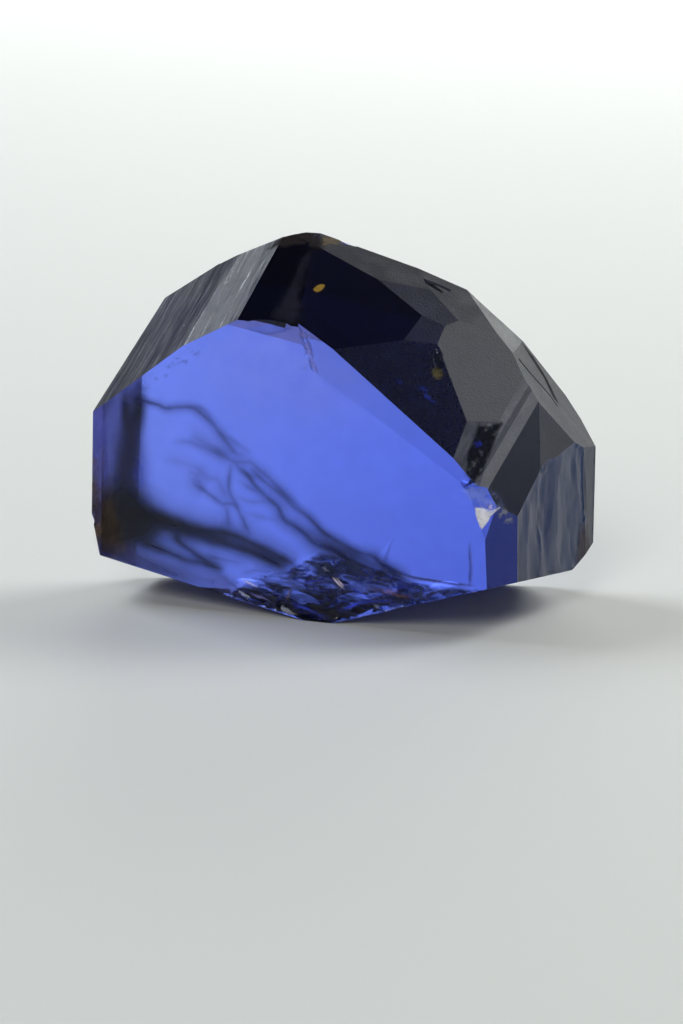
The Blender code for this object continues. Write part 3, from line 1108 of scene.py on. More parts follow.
VEINS_AND_GLINTS = (
    # Upper branches and their twigs
    VeinOrGlint(1.2, (
        (-20.2, 2.8), (-18.4, 2.5), (-16.6, 2.2), (-15.7, 1.9), (-14.5, 2.1), (-13.3, 2.2), (-12.3, 1.8),
        (-11.3, 1.1), (-10.4, 0.2), (-9.4, -0.9), (-8.7, -1.6), (-7.3, -1.8),
    ), (0.27, 0.50), (0.85, 0.45)),
    VeinOrGlint(1.2, (
        (-13.5, 2.3), (-12.6, 2.3), (-11.8, 2.0), (-11.2, 1.4), (-10.7, 0.8),
    ), (0.27, 0.27), (0.5, 0.15)),
    VeinOrGlint(1.4, ((-10.5, 0.2), (-9.1, -0.5), (-7.6, -1.3), (-6.9, -2.1)), (0.27, 0.27), (0.4, 0.12)),
    VeinOrGlint(1.8, (
        (-15.6, -1.3), (-13.8, -1.1), (-12.4, -1.4), (-11.0, -1.8), (-9.8, -2.2), (-8.9, -2.5),
        (-7.4, -2.4), (-6.5, -3.0), (-5.3, -3.8), (-3.9, -5.0), (-2.4, -6.1),
    ), (0.32, 0.46), (0.25, 0.55)),
    VeinOrGlint(2.2, (
        (-13.7, -0.7), (-12.7, -0.8), (-11.6, -1.3), (-10.3, -1.8), (-9.3, -2.3),
    ), (0.64, 0.73), (0.3, 0.55)),
    VeinOrGlint(1.4, (
        (-9.2, -2.4), (-7.6, -3.5), (-6.6, -4.6), (-5.4, -5.5), (-4.4, -6.3), (-3.7, -7.4), (-2.7, -7.9),
        (-1.7, -8.5), (-0.5, -9.4), (1.3, -9.8), (2.7, -10.5), (3.7, -10.9),
    ), (0.35, 0.82), (0.6, 1.0)),
    VeinOrGlint(1.6, (
        (-9.2, -2.6), (-9.3, -3.9), (-9.3, -5.2), (-8.8, -6.1), (-8.2, -7.1),
    ), (0.29, 0.29), (0.6, 0.35)),
    VeinOrGlint(1.8, ((-8.8, -3.2), (-7.8, -3.5), (-6.9, -3.8), (-5.8, -3.7)), (0.27, 0.23), (0.4, 0.15)),
    VeinOrGlint(1.8, ((-8.9, -3.8), (-7.6, -4.7), (-6.6, -5.1), (-5.7, -5.3)), (0.32, 0.27), (0.4, 0.12)),
    VeinOrGlint(2.6, (
        (-16.6, -3.1), (-15.2, -3.1), (-14.0, -3.2), (-12.8, -3.5), (-11.8, -4.3), (-10.7, -4.5),
        (-10.1, -5.5), (-9.6, -6.5),
    ), (0.41, 0.59), (0.12, 0.42)),
    VeinOrGlint(2.2, (
        (-12.9, -3.3), (-12.5, -4.0), (-13.1, -4.7), (-12.3, -5.4), (-11.9, -5.7),
    ), (0.64, 0.55), (0.25, 0.35)),
    VeinOrGlint(1.8, (
        (-13.2, -4.6), (-12.0, -5.4), (-11.1, -6.0), (-10.0, -6.5), (-8.8, -6.5), (-8.1, -7.5),
        (-7.5, -8.6), (-7.1, -9.4),
    ), (0.29, 0.32), (0.5, 0.5)),
    VeinOrGlint(2.0, ((-10.0, -6.5), (-9.6, -7.2), (-9.4, -8.5), (-9.3, -9.2)), (0.37, 0.37), (0.35, 0.35)),
    VeinOrGlint(2.0, ((-8.8, -5.7), (-7.4, -6.1), (-6.0, -6.0), (-5.1, -5.7)), (0.27, 0.23), (0.35, 0.1)),
    VeinOrGlint(2.0, ((-8.2, -7.1), (-6.6, -7.4), (-5.2, -7.6), (-4.3, -7.7)), (0.27, 0.27), (0.28, 0.12)),
    VeinOrGlint(1.6, (
        (-7.3, -2.8), (-6.6, -3.5), (-5.2, -4.5), (-3.8, -5.3), (-2.8, -6.3), (-1.3, -7.0), (0.1, -8.2),
        (1.7, -9.0), (3.3, -9.7), (4.9, -10.0), (6.1, -10.7), (7.7, -11.4), (8.9, -11.7),
    ), (0.26, 0.64), (0.4, 1.0)),
    VeinOrGlint(2.2, (
        (-3.7, -5.3), (-2.8, -6.0), (-1.8, -6.8), (-0.7, -7.6), (0.4, -8.5), (1.5, -8.9),
    ), (0.27, 0.27), (0.3, 0.45)),
    # The main vein and the smoke below it
    VeinOrGlint(1.6, (
        (-20.8, -7.4), (-19.4, -7.7), (-17.6, -8.0), (-15.6, -8.6), (-13.6, -9.0), (-11.5, -9.2),
        (-9.3, -9.3), (-7.2, -9.9), (-5.1, -10.6), (-3.2, -11.3), (-2.2, -11.7),
    ), (1.37, 0.73), (0.9, 0.85), SmokeAndLight.INK),
    VeinOrGlint(1.2, (
        (-11.6, -9.4), (-10.6, -9.8), (-8.5, -10.4), (-6.3, -10.9), (-4.2, -11.6), (-3.0, -12.0),
    ), (0.59, 0.55), (0.8, 0.95), SmokeAndLight.NAVY),
    VeinOrGlint(1.0, (
        (-8.8, -9.9), (-6.9, -10.4), (-5.1, -11.0), (-3.5, -11.3), (-2.3, -11.3),
    ), (0.20, 0.20), (0.5, 0.4)),
    VeinOrGlint(2.2, (
        (-19.5, -10.3), (-17.8, -10.9), (-16.8, -11.3), (-15.7, -11.6), (-13.7, -12.2), (-12.2, -12.3),
        (-10.5, -12.6), (-9.6, -12.8),
    ), (1.10, 0.64), (1.0, 0.8), SmokeAndLight.NAVY),
    VeinOrGlint(2.4, (
        (-15.4, -9.6), (-14.8, -10.2), (-14.3, -10.7), (-12.9, -11.5), (-11.7, -12.1), (-10.7, -12.6),
    ), (0.73, 0.46), (0.95, 0.85), SmokeAndLight.NAVY),
    VeinOrGlint(2.4, (
        (-11.8, -11.5), (-10.9, -11.7), (-10.2, -11.8), (-8.7, -11.9), (-7.2, -12.2),
    ), (0.46, 0.37), (0.5, 0.25)),
    VeinOrGlint(2.4, ((-11.1, -12.9), (-10.1, -13.4), (-9.3, -13.8), (-8.4, -14.0)), (0.64, 0.46), (0.5, 0.3)),
    VeinOrGlint(1.8, (
        (-8.1, -13.0), (-6.6, -12.5), (-5.1, -12.5), (-3.7, -12.4), (-2.7, -12.5),
    ), (0.27, 0.27), (0.3, 0.4)),
    # Rims and cracks of the broken foot: dark lines, each with a painted lilac glint beside it
    VeinOrGlint(0.2, (
        (8.1, -11.1), (9.2, -11.4), (10.8, -11.5), (12.4, -11.6), (13.9, -11.6), (15.6, -11.6),
    ), (0.11, 0.09), (0.9, 0.9), SmokeAndLight.INK),
    VeinOrGlint(0.2, (
        (7.7, -11.2), (9.2, -11.6), (10.8, -11.6), (12.4, -11.7), (13.9, -11.8), (15.6, -11.8),
    ), (0.08, 0.07), (0.6, 0.6), SmokeAndLight.LILAC),
    VeinOrGlint(0.3, (
        (14.7, -7.5), (14.7, -8.6), (14.8, -9.9), (14.8, -11.0), (14.9, -11.8),
    ), (0.10, 0.12), (0.5, 0.95), SmokeAndLight.INK),
    VeinOrGlint(0.3, (
        (14.9, -8.2), (14.9, -9.3), (15.0, -10.4), (15.0, -11.5),
    ), (0.07, 0.07), (0.4, 0.6), SmokeAndLight.LILAC),
    # Painted glint streaks of the broken foot in pearl, lilac and blue, and its rusty, tan and cream streaks
    VeinOrGlint(0.15, (
        (1.4, -12.2), (1.7, -12.4), (2.1, -12.8), (2.7, -13.3),
    ), (0.05, 0.08), (1.0, 0.9), SmokeAndLight.PEARL),
    VeinOrGlint(0.15, ((1.7, -12.1), (2.3, -12.7), (2.7, -13.1)), (0.05, 0.08), (0.8, 0.8), SmokeAndLight.PEARL),
    VeinOrGlint(0.2, ((2.1, -12.8), (2.7, -12.8), (3.3, -13.0)), (0.05, 0.05), (0.7, 0.5), SmokeAndLight.LILAC),
    VeinOrGlint(0.2, (
        (-2.3, -13.1), (-2.6, -13.8), (-2.9, -14.5), (-3.2, -15.0),
    ), (0.10, 0.07), (0.8, 0.7), SmokeAndLight.TAN),
    VeinOrGlint(0.15, ((-2.5, -13.4), (-2.8, -14.0), (-3.0, -14.7)), (0.05, 0.05), (0.8, 0.7), SmokeAndLight.CREAM),
    VeinOrGlint(0.2, (
        (4.8, -12.9), (6.0, -12.9), (7.2, -12.9), (8.4, -12.9),
    ), (0.07, 0.05), (0.65, 0.55), SmokeAndLight.RUST),
    VeinOrGlint(0.2, (
        (5.4, -13.4), (6.8, -13.1), (8.3, -13.3), (9.9, -13.3),
    ), (0.06, 0.05), (0.6, 0.5), SmokeAndLight.RUST),
    VeinOrGlint(0.15, (
        (-7.6, -13.1), (-7.1, -13.4), (-6.5, -13.6), (-5.7, -13.9),
    ), (0.11, 0.08), (0.8, 0.6), SmokeAndLight.PEARL),
    VeinOrGlint(0.2, (
        (-6.7, -14.4), (-5.9, -14.7), (-5.2, -14.8), (-4.4, -15.2),
    ), (0.12, 0.08), (0.8, 0.6), SmokeAndLight.LILAC),
    VeinOrGlint(0.35, (
        (-1.6, -13.3), (-0.9, -12.9), (0.2, -12.6), (1.3, -12.2),
    ), (0.14, 0.14), (0.85, 0.8), SmokeAndLight.BLUE),
    VeinOrGlint(0.35, (
        (2.8, -12.9), (3.7, -13.2), (4.5, -13.5), (5.7, -13.9),
    ), (0.15, 0.13), (0.9, 0.8), SmokeAndLight.BLUE),
    VeinOrGlint(0.35, (
        (-2.7, -15.1), (-1.2, -15.4), (0.1, -15.8), (1.5, -16.0),
    ), (0.15, 0.13), (0.85, 0.8), SmokeAndLight.BLUE),
    VeinOrGlint(0.35, (
        (1.9, -15.3), (3.1, -14.8), (4.2, -14.3), (6.4, -13.9), (7.9, -13.8),
    ), (0.15, 0.13), (0.9, 0.8), SmokeAndLight.BLUE),
    VeinOrGlint(0.35, (
        (6.1, -12.6), (7.5, -12.5), (8.9, -12.5), (10.4, -12.8),
    ), (0.13, 0.11), (0.8, 0.7), SmokeAndLight.BLUE),
    VeinOrGlint(0.3, ((0.0, -10.9), (0.3, -10.9), (0.6, -11.1)), (0.13, 0.09), (0.7, 0.5), SmokeAndLight.TAN),
)


@dataclass
class VeinsAndGlints:
    """Smoky veins that branch behind the window, and painted glint streaks of the broken foot: soft ribbons
    laid along their courses by Geometry Nodes.
    """

    name: str = "smoke_veins"
    step_mm: float = 0.2
    wander_mm: float = 0.25
    sways: float = 350.0
    spread: float = 2.3
    strength: float = 1.12
    profile_points: int = 7
    flank: float = 0.35
    core: float = 0.65
    veins: tuple[VeinOrGlint, ...] = VEINS_AND_GLINTS

    def build(self) -> bpy.types.Object:
        """Makes all the veins and glint streaks.

        Returns:
            Their object.
        """
        made = self.courses()
        finish = SmokeAndLightFinish("vein_smoke_and_glint", break_up=0.2, blotches=400.0).material()
        made.data.materials.append(finish)
        ribbons = made.modifiers.new("ribbons", "NODES")
        ribbons.node_group, sizes = self.ribbon_tree(finish)
        for key, value in sizes.items():
            ribbons[key] = value
        graph = bpy.context.evaluated_depsgraph_get()
        mesh = bpy.data.meshes.new_from_object(made.evaluated_get(graph), depsgraph=graph)
        bpy.data.objects.remove(made)
        mesh.name = self.name
        side, body, tone = (np.empty(len(mesh.vertices)) for _ in range(3))
        for name, values in (("side", side), ("body", body), ("tone", tone)):
            mesh.attributes[name].data.foreach_get("value", values)
        soft = np.clip(1.0 - np.abs(side), 0.0, 1.0)
        colours = np.array([smoke.value for smoke in SmokeAndLight])[np.round(tone).astype(int)]
        write_smoke_and_light(mesh, colours, body * (self.flank * soft + self.core * soft**3))
        return placed(self.name, mesh)

    def courses(self) -> bpy.types.Object:
        """Lays the courses out as lines.

        Returns:
            Their object, whose points carry their half width, strength and colour number.
        """
        points, lines, widths, bodies, tones = [], [], [], [], []
        for vein in self.veins:
            last = len(vein.course) - 1
            for number, spot in enumerate(vein.course):
                share = number / last
                points.append(WINDOW.point(spot, vein.depth) * MM)
                widths.append(along(vein.width, share) * self.spread * MM)
                bodies.append(0.0 if number in (0, last) else along(vein.strength, share) * self.strength)
                tones.append(list(SmokeAndLight).index(vein.colour))
                if number:
                    lines.append((len(points) - 2, len(points) - 1))
        mesh = bpy.data.meshes.new("vein_and_glint_courses")
        mesh.from_pydata(points, lines, [])
        for name, values in (("half_width", widths), ("body", bodies), ("tone", tones)):
            mesh.attributes.new(name, "FLOAT", "POINT").data.foreach_set("value", values)
        return placed("vein_and_glint_courses", mesh)

    def ribbon_tree(self, finish: bpy.types.Material) -> tuple[bpy.types.NodeTree, dict[str, float]]:
        """Builds the node tree that turns courses into ribbons.

        Args:
            finish: the ribbons' material.

        Returns:
            The tree, and its sizes by input identifier.
        """
        made = bpy.data.node_groups.new("vein_and_glint_ribbons", "GeometryNodeTree")
        face = made.interface
        face.new_socket("Geometry", in_out="INPUT", socket_type="NodeSocketGeometry")
        step = face.new_socket("Step", in_out="INPUT", socket_type="NodeSocketFloat")
        wander = face.new_socket("Wander", in_out="INPUT", socket_type="NodeSocketFloat")
        face.new_socket("Geometry", in_out="OUTPUT", socket_type="NodeSocketGeometry")
        tree = Tree(made)
        inlet = tree.add("NodeGroupInput").outputs
        lines = tree.put("GeometryNodeMeshToCurve", {"Mesh": inlet["Geometry"]})
        lines = tree.put("GeometryNodeCurveSplineType", {"Curve": lines}, spline_type="CATMULL_ROM")
        even = {"Curve": lines, "Length": inlet["Step"]}
        lines = tree.put("GeometryNodeResampleCurve", even, mode="LENGTH")
        sway = tree.add("ShaderNodeTexNoise", {"Scale": self.sways, "Detail": 2.0}).outputs["Color"]
        sway = tree.put("ShaderNodeVectorMath", {0: sway, 1: (0.5, 0.5, 0.5)}, operation="SUBTRACT")
        sway = tree.put("ShaderNodeVectorMath", {0: sway, "Scale": inlet["Wander"]}, operation="SCALE")
        lines = tree.put("GeometryNodeSetPosition", {"Geometry": lines, "Offset": sway})
        lines = tree.put("GeometryNodeSetCurveNormal", {"Curve": lines, "Normal": WINDOW.out}, mode="FREE")
        half = tree.put("GeometryNodeInputNamedAttribute", {"Name": "half_width"}, data_type="FLOAT")
        bar = tree.put("GeometryNodeCurvePrimitiveLine", {"Start": (0.0, -1.0, 0.0), "End": (0.0, 1.0, 0.0)})
        bar = tree.put("GeometryNodeResampleCurve", {"Curve": bar, "Count": self.profile_points})
        place = tree.put("GeometryNodeInputPosition")
        side = tree.add("ShaderNodeSeparateXYZ", {0: place}).outputs["Y"]
        stored = {"Name": "side", "Geometry": bar, "Value": side}
        bar = tree.put("GeometryNodeStoreNamedAttribute", stored, data_type="FLOAT", domain="POINT")
        swept = tree.put("GeometryNodeCurveToMesh", {"Curve": lines, "Profile Curve": bar, "Scale": half})
        real = tree.put("GeometryNodeRealizeInstances", {"Geometry": swept})
        dressed = tree.put("GeometryNodeSetMaterial", {"Geometry": real, "Material": finish})
        tree.add("NodeGroupOutput", {"Geometry": dressed})
        return made, {step.identifier: self.step_mm * MM, wander.identifier: self.wander_mm * MM}


OVAL_SPOT = (
    (-0.58, -0.10), (-0.44, -0.38), (-0.20, -0.42), (0.22, -0.14), (0.52, 0.16), (0.60, 0.38),
    (0.28, 0.46), (-0.12, 0.34), (-0.44, 0.10),
)
LONG_SPOT = ((-0.9, -3.6), (0.4, -4.6), (1.0, -3.0), (0.6, 0.5), (0.1, 3.8), (-0.6, 4.4), (-1.2, 1.0))
WIDE_SPOT = ((-1.6, -2.4), (0.4, -3.2), (1.4, -2.2), (1.5, 0.4), (0.6, 2.6), (-0.8, 2.8), (-1.7, 0.5))
SMALL_SPOT = ((-0.35, -0.55), (0.15, -0.68), (0.42, -0.20), (0.30, 0.45), (-0.05, 0.70), (-0.38, 0.25))


@dataclass(frozen=True)
class SurfaceMark:
    """A stain, crust, painted shade or painted glint on the surface: a place, the facet it faces, and its
    outline there in mm.

    edge is how softly it ends, in mm, and speckle how much of it is missing.
    """

    RIM_HILLS = (0.9, 0.9)
    SPECKLE_HILLS = (0.55, 0.45)
    SPECKLE_CONTRAST = 6.0
    FAR_MM = 1e9
    NOTHING = 1e-12

    name: str
    place: tuple[float, float, float]
    facet: Facet
    outline: tuple[Spot, ...]
    strength: float
    colour: SmokeAndLight
    edge: float
    speckle: float = 0.0

    def thickness(self, spots: np.ndarray) -> np.ndarray:
        """How thick the stain is.

        Args:
            spots: two columns of mm from its place.

        Returns:
            The thickness at each spot, 0 to its strength.
        """
        inside = np.zeros(len(spots), bool)
        near = np.full(len(spots), self.FAR_MM)
        for start, end in zip(self.outline, self.outline[1:] + self.outline[:1]):
            (x, y), (a, b) = start, end
            crosses = (y > spots[:, 1]) != (b > spots[:, 1])
            inside ^= crosses & (spots[:, 0] < (a - x) * (spots[:, 1] - y) / (b - y + self.NOTHING) + x)
            run = np.array((a - x, b - y))
            share = np.clip((spots - start) @ run / (run @ run), 0.0, 1.0)
            near = np.minimum(near, np.linalg.norm(spots - start - share[:, None] * run, axis=1))
        signed = np.where(inside, near, -near)
        rough = Hills(len(self.name) + 3)
        signed += (rough.at(spots, self.RIM_HILLS, 3) - 0.5) * self.edge
        thick = np.clip(signed / self.edge + 0.5, 0.0, 1.0)
        if self.speckle:
            patchy = rough.at(spots + 50.0, self.SPECKLE_HILLS, 3) - self.speckle
            thick *= np.clip(patchy * self.SPECKLE_CONTRAST, 0.0, 1.0)
        return thick * self.strength


SURFACE_MARKS = (
    SurfaceMark("ochre_spot", (-2.3, 0.3, 29.7), Facet.DARK_RIGHT, OVAL_SPOT, 1.0, SmokeAndLight.OCHRE, 0.12),
    SurfaceMark("margin_brown", (-23.2, 3.0, 9.3), Facet.WINDOW_MARGIN, LONG_SPOT, 0.85, SmokeAndLight.TAN, 0.9),
    SurfaceMark("margin_umber", (-22.7, 2.7, 6.8), Facet.WINDOW_MARGIN, WIDE_SPOT, 0.7, SmokeAndLight.UMBER, 1.2),
    SurfaceMark("margin_spot", (-22.95, 2.57, 6.55), Facet.WINDOW_MARGIN, SMALL_SPOT, 1.0, SmokeAndLight.CREAM, 0.3),
    SurfaceMark("corner_brown", (22.5, 1.9, 4.3), Facet.RIGHT_FACE, WIDE_SPOT, 0.45, SmokeAndLight.TAN, 0.9),
    SurfaceMark("white_chip", (12.52, -11.82, 10.96), Facet.WINDOW, (
        (-0.93, 0.96), (-0.45, 0.93), (0.35, 0.69), (0.93, 0.92), (0.56, 0.49), (0.29, 0.16),
        (0.19, -0.23), (-0.04, -0.70), (-0.19, -0.97), (-0.42, -0.66), (-0.65, -0.08), (-0.84, 0.52),
    ), 1.0, SmokeAndLight.WHITE, 0.12),
    # Painted glints by the white chip: a blue sheen reflection and a pearl spark
    SurfaceMark("chip_glint", (12.04, -11.48, 12.92), Facet.WINDOW, (
        (-1.46, 0.41), (-0.62, 1.16), (0.26, 0.49), (1.22, -0.54), (1.46, -0.97), (0.89, -1.16),
        (0.12, -0.91),
    ), 0.45, SmokeAndLight.SHEEN, 0.5, 0.25),
    SurfaceMark("chip_spark", (12.70, -11.81, 12.07), Facet.WINDOW, (
        (-0.62, -0.01), (-0.06, 0.31), (0.42, 0.31), (0.62, -0.08), (0.15, -0.31), (-0.33, -0.21),
    ), 0.8, SmokeAndLight.PEARL, 0.15, 0.5),
    # Painted shade: black in the notch
    SurfaceMark("black_notch", (11.17, -11.03, 14.06), Facet.WINDOW, (
        (-0.54, -0.35), (-0.13, 0.07), (0.06, 0.35), (0.54, 0.12), (-0.02, -0.13),
    ), 1.0, SmokeAndLight.INK, 0.15),
    # Painted shade: ink over the recess
    SurfaceMark("recess", (12.66, -8.39, 16.46), Facet.STRIPE, (
        (0.21, 2.43), (2.67, 2.63), (0.68, 0.10), (-1.32, -2.35), (-2.05, -2.83), (-2.45, -2.53),
        (-2.60, -2.12), (-1.94, -0.40), (-0.81, 1.20),
    ), 0.96, SmokeAndLight.INK, 0.25, 0.12),
    SurfaceMark("recess_dust", (13.17, -6.63, 18.07), Facet.STRIPE, (
        (-0.84, 0.62), (1.44, 0.68), (0.54, -0.47), (-0.49, -0.77), (-1.44, -0.56),
    ), 0.75, SmokeAndLight.GREY, 0.3, 0.62),
    # A painted blue glint in the recess
    SurfaceMark("recess_glint", (12.06, -8.18, 16.99), Facet.STRIPE, (
        (-0.39, 0.19), (0.26, 0.33), (0.46, -0.01), (-0.05, -0.31), (-0.43, -0.22),
    ), 0.85, SmokeAndLight.BLUE, 0.2, 0.35),
    SurfaceMark("recess_chip", (11.48, -10.04, 15.32), Facet.STRIPE, (
        (0.72, 0.80), (0.74, 0.39), (0.24, -0.02), (-0.34, -0.55), (-0.84, -0.76), (-0.46, -0.19),
        (0.08, 0.26),
    ), 0.9, SmokeAndLight.GREY, 0.2, 0.45),
    SurfaceMark("olive_stain", (8.42, -3.94, 22.72), Facet.SLATE_LONG, (
        (-0.43, 0.33), (0.11, 0.56), (0.52, 0.25), (0.44, -0.28), (-0.07, -0.57), (-0.49, -0.32),
    ), 0.85, SmokeAndLight.OLIVE, 0.4, 0.1),
    SurfaceMark("dark_strip", (8.55, -2.97, 23.63), Facet.SLATE_LONG, (
        (-0.20, 0.96), (0.52, 1.13), (0.28, -0.60), (-0.16, -1.21), (-0.57, -0.53),
    ), 0.8, SmokeAndLight.INK, 0.4, 0.3),
    SurfaceMark("strip_dust", (8.57, -2.65, 23.95), Facet.SLATE_LONG, (
        (-0.22, 0.52), (0.40, 0.69), (0.12, -0.81), (-0.40, -0.56),
    ), 0.5, SmokeAndLight.GREY, 0.3, 0.68),
    SurfaceMark("brown_skin", (-4.56, 5.01, 33.41), Facet.APEX, (
        (-2.49, -0.28), (-1.49, 0.54), (-0.45, 1.12), (0.67, 1.16), (2.03, 0.83), (2.50, 0.08),
        (2.63, -0.83), (1.98, -0.86), (0.99, -0.44), (-0.40, -0.50), (-1.52, -0.54),
    ), 0.85, SmokeAndLight.UMBER, 0.5, 0.15),
    SurfaceMark("beige_skin", (-1.13, 5.05, 33.16), Facet.GROUND_TOP, (
        (-0.78, 0.84), (0.39, 0.47), (1.20, 0.00), (0.30, -0.23), (-0.50, -0.19), (-1.08, -0.35),
    ), 0.85, SmokeAndLight.BEIGE, 0.3, 0.15),
    SurfaceMark("smoky_wedge", (-4.58, 0.27, 29.75), Facet.DARK_LEFT, (
        (0.35, 4.76), (0.22, 2.50), (0.63, 0.06), (1.58, -3.54), (0.69, -4.46), (-0.79, -3.37),
        (-0.51, -1.02), (-0.19, 3.22),
    ), 0.4, SmokeAndLight.SLATE, 1.1),
    SurfaceMark("blue_dust", (6.56, -6.75, 20.57), Facet.SLATE_LONG, (
        (-1.28, 2.27), (0.71, 1.79), (1.56, 0.54), (1.51, -1.17), (0.73, -2.38), (0.23, -1.70),
    ), 0.3, SmokeAndLight.BLUE, 0.6, 0.72),
    # Painted shadow: a black sliver in the crack at the edge of the outer ground face
    SurfaceMark("edge_crack", (18.19, 4.92, 20.96), Facet.GROUND_OUTER, (
        (0.35, 3.40), (1.17, 1.49), (0.97, -0.70), (-0.14, -2.62), (-0.67, -3.44), (-1.05, -2.51),
        (0.06, -0.60), (0.15, 1.56),
    ), 0.95, SmokeAndLight.INK, 0.08),
    # Painted shadow: black in the chip under the top edge
    SurfaceMark("top_chip", (8.31, 3.83, 29.30), Facet.GROUND_TOP, (
        (-0.70, 0.97), (-0.00, 0.38), (0.50, -0.43), (0.70, -0.97), (-0.02, -0.44), (-0.72, 0.39),
    ), 0.95, SmokeAndLight.INK, 0.12),
    SurfaceMark("right_chips", (14.99, -11.14, 11.05), Facet.RIGHT_FACE, (
        (-0.55, 0.97), (0.71, 0.34), (0.80, -0.97), (-0.07, -0.42), (-0.80, 0.47),
    ), 0.6, SmokeAndLight.GREY, 0.3, 0.5),
    SurfaceMark("rim_dust", (-16.95, 1.09, 21.59), Facet.WINDOW, (
        (-3.86, -2.08), (-1.04, -0.28), (1.46, 1.39), (3.74, 2.90), (3.86, 2.22), (1.78, 0.58),
        (-0.82, -1.19), (-3.64, -2.90),
    ), 0.32, SmokeAndLight.INK, 0.5, 0.55),
    # A painted lilac glint along the edge of the window's crack
    SurfaceMark("crack_edge", (-3.30, -4.25, 24.83), Facet.WINDOW, (
        (-0.94, 1.89), (-0.53, 1.47), (0.08, 0.60), (0.41, -0.47), (0.94, -1.89), (0.43, -1.38),
        (0.02, -0.59), (-0.41, 0.47), (-0.92, 1.35),
    ), 0.75, SmokeAndLight.LILAC, 0.15, 0.42),
    SurfaceMark("warm_margin", (-21.64, 2.05, 9.22), Facet.WINDOW, (
        (-1.20, 4.62), (-0.84, 2.01), (-0.18, -0.29), (0.69, -2.38), (1.34, -4.22), (0.11, -4.61),
        (-0.82, -4.13), (-1.18, -1.80),
    ), 0.62, SmokeAndLight.TAN, 1.5),
    SurfaceMark("crack_line", (-3.28, -4.26, 24.83), Facet.WINDOW, (
        (-0.96, 1.98), (-0.36, 1.30), (0.16, 0.51), (0.48, -0.56), (0.96, -1.98), (0.39, -0.66),
        (0.01, 0.37), (-0.50, 1.15),
    ), 0.55, SmokeAndLight.NAVY, 0.1, 0.2),
)


@dataclass
class SurfaceMarks:
    """Thin skins on the stone that follow its surface: stains, crusts, painted shade and painted glints."""

    lift_mm: float = 0.012
    above_mm: float = 2.0
    reach_mm: float = 6.0
    rim_mm: float = 0.05
    longest_edge_mm: float = 0.9
    least_facing: float = 0.25
    steps: int = 44
    stains: tuple[SurfaceMark, ...] = SURFACE_MARKS

    def build(self, stone: bpy.types.Object) -> list[bpy.types.Object]:
        """Makes every stain, painted shade and painted glint.

        Args:
            stone: the dressed stone that they lie on.

        Returns:
            Their objects.
        """
        shape = bmesh.new()
        shape.from_mesh(stone.data)
        surface = BVHTree.FromBMesh(shape)
        shape.free()
        finish = SmokeAndLightFinish("surface_stain_and_light", 0.75, 0.15, 1800.0).material()
        return [self.skin(stain, surface, finish) for stain in self.stains]

    def skin(self, stain: SurfaceMark, surface: BVHTree, finish: bpy.types.Material) -> bpy.types.Object:
        """Makes one stain, painted shade or painted glint.

        Args:
            stain: which one.
            surface: the stone's surface.
            finish: the stain's material.

        Returns:
            Its object.
        """
        level, up, out = stain.facet.value.axes()
        reach = stain.edge * 0.5 + self.rim_mm
        low, high = np.min(stain.outline, axis=0) - reach, np.max(stain.outline, axis=0) + reach
        columns, rows = (np.linspace(low[axis], high[axis], self.steps) for axis in (0, 1))
        spots = [(u, v) for u in columns for v in rows]
        shape = bmesh.new()
        amounts = []
        grid: dict[tuple[int, int], tuple[bmesh.types.BMVert, float]] = {}
        for number, ((u, v), thick) in enumerate(zip(spots, stain.thickness(np.array(spots)))):
            start = Vector(stain.place) + level * u + up * v + out * self.above_mm
            hit, normal, _, _ = surface.ray_cast(start * MM, -out, self.reach_mm * MM)
            if hit is not None and normal.dot(out) > self.least_facing:
                grid[divmod(number, self.steps)] = (shape.verts.new(hit + normal * self.lift_mm * MM), thick)
                amounts.append(thick)
        for i, j in grid:
            corners = [grid.get(key) for key in ((i, j), (i + 1, j), (i + 1, j + 1), (i, j + 1))]
            if None in corners or max(corner[1] for corner in corners) <= 0.0:
                continue
            verts = [corner[0] for corner in corners]
            longest = max((a.co - b.co).length for a, b in zip(verts, verts[1:] + verts[:1]))
            if longest < self.longest_edge_mm * MM:
                shape.faces.new(verts)
        bmesh.ops.recalc_face_normals(shape, faces=shape.faces)
        for face in shape.faces:
            if face.normal.dot(out) < 0.0:
                face.normal_flip()
            face.smooth = True
        mesh = finished(shape, stain.name)
        write_smoke_and_light(mesh, np.tile(stain.colour.value, (len(amounts), 1)), np.array(amounts))
        mesh.materials.append(finish)
        return placed(stain.name, mesh)


@dataclass(frozen=True)
class SoftBox:
    """One soft box: its name, place and sizes in metres, power in watts and colour."""

    AIM = Vector((0.0, 0.0, 0.015))

    name: str
    place: tuple[float, float, float]
    wide: float
    high: float
    power: float
    colour: Colour = (0.97, 1.0, 0.96)

    def build(self) -> None:
        """Hangs the soft box so that it faces the stone."""
        lamp = bpy.data.lights.new(self.name, "AREA")
        lamp.shape = "RECTANGLE"
        lamp.size, lamp.size_y = self.wide, self.high
        lamp.energy = self.power
        lamp.color = self.colour
        made = placed(self.name, lamp)
        made.location = self.place
        toward = self.AIM - Vector(self.place)
        made.rotation_euler = toward.to_track_quat("-Z", "Y").to_euler()


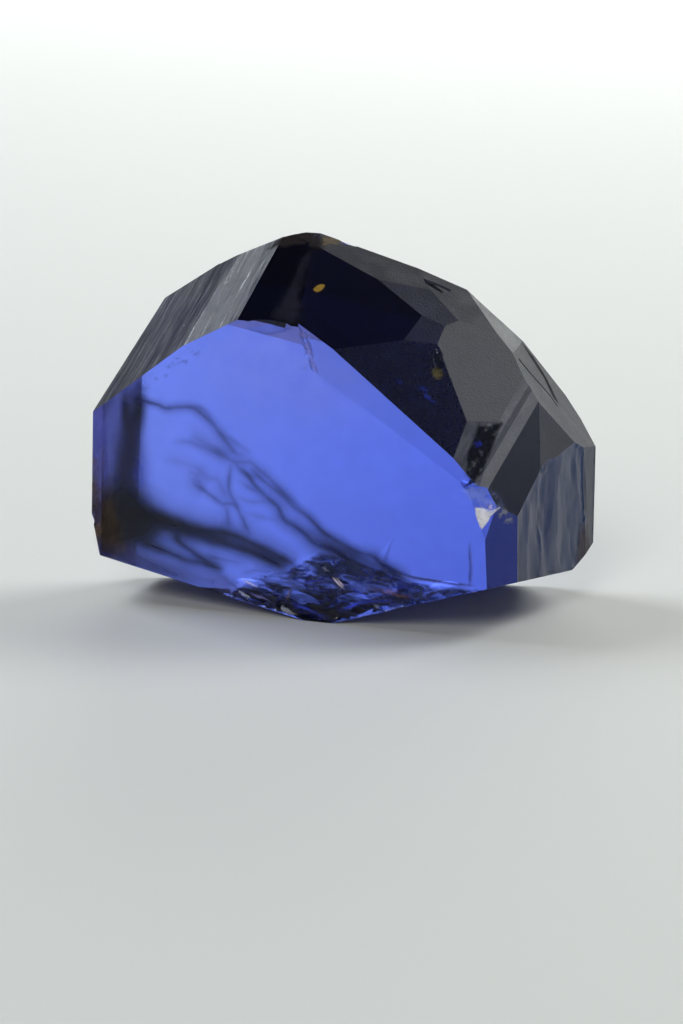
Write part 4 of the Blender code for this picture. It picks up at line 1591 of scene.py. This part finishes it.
@dataclass
class Studio:
    """Pale floor, soft lights and the camera."""

    camera_mm: tuple[float, float, float] = (-0.27, -353.25, 93.58)
    look_down: float = 13.5
    lens_mm: float = 137.99
    sensor_mm: float = 36.0
    clip: Spot = (0.01, 20.0)
    floor_colour: Colour = (0.66, 0.66, 0.65)
    floor_radius: float = 4.0
    room_fades: Spot = (0.06, 0.60)
    room_light: Spot = (0.56, 0.05)
    boxes: tuple[SoftBox, ...] = (
        SoftBox("left_box", (-0.60, 0.44, 0.68), 0.45, 0.45, 5.3, (0.90, 0.97, 1.02)),
        SoftBox("right_box", (0.72, 0.36, 0.64), 0.45, 0.45, 5.4),
        SoftBox("back_box", (0.16, 0.84, 0.22), 0.60, 0.26, 3.4),
        SoftBox("front_box", (-0.30, -0.95, 0.75), 0.5, 0.5, 4.6),
    )

    def build(self) -> None:
        """Builds the floor, lights, surroundings and camera."""
        self.floor()
        for box in self.boxes:
            box.build()
        self.room()
        self.camera()
        bpy.context.scene.view_settings.view_transform = "Standard"

    def floor(self) -> None:
        """Lays a wide round sheet of pale paper."""
        shape = bmesh.new()
        bmesh.ops.create_circle(shape, cap_ends=True, segments=96, radius=self.floor_radius)
        mesh = finished(shape, "studio_floor")
        paper, tree = Tree.of_material("studio_paper")
        look = {"Base Color": self.floor_colour, "Roughness": 0.8, "Specular IOR Level": 0.2}
        sheet = tree.put("ShaderNodeBsdfPrincipled", look)
        tree.add("ShaderNodeOutputMaterial", {"Surface": sheet})
        mesh.materials.append(paper)
        made = placed("studio_floor", mesh)

    def room(self) -> None:
        """Sets surroundings that are pale all round and dim overhead."""
        world = bpy.data.worlds.new("studio_room")
        bpy.context.scene.world = world
        world.use_nodes = True
        tree = Tree(world.node_tree)
        where = tree.add("ShaderNodeTexCoord").outputs["Generated"]
        level = tree.add("ShaderNodeSeparateXYZ", {0: where}).outputs["Z"]
        shade = tree.ramp(level, *self.room_fades, *self.room_light)
        tree.add("ShaderNodeOutputWorld", {"Surface": tree.put("ShaderNodeBackground", {"Color": shade})})

    def camera(self) -> None:
        """Sets the camera at the viewing angle."""
        lens = bpy.data.cameras.new("camera")
        lens.lens = self.lens_mm
        lens.sensor_width = self.sensor_mm
        lens.clip_start, lens.clip_end = self.clip
        made = placed("camera", lens)
        made.location = Vector(self.camera_mm) * MM
        made.rotation_euler = (math.radians(90.0 - self.look_down), 0.0, 0.0)
        bpy.context.scene.camera = made


def seat(piece: bpy.types.Object) -> bpy.types.Object:
    """Makes a piece ride with the stone.

    Args:
        piece: the piece.

    Returns:
        The same piece.
    """
    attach(piece, "root")
    log.info("%s: %d faces", piece.name, len(piece.data.polygons))
    return piece


def main() -> None:
    """Builds the stone, what lies inside it, and the studio."""
    logging.basicConfig(level=logging.INFO, format="%(message)s")
    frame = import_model()
    crystal = Crystal()
    stone = seat(crystal.build(frame["nodes"]["rough_tanzanite"]))
    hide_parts("rough_tanzanite")
    for piece in (Veil().build(), BrokenVeil().build(crystal), *SurfaceMarks().build(stone), VeinsAndGlints().build()):
        seat(piece)
    Studio().build()


if __name__ == "__main__":
    main()
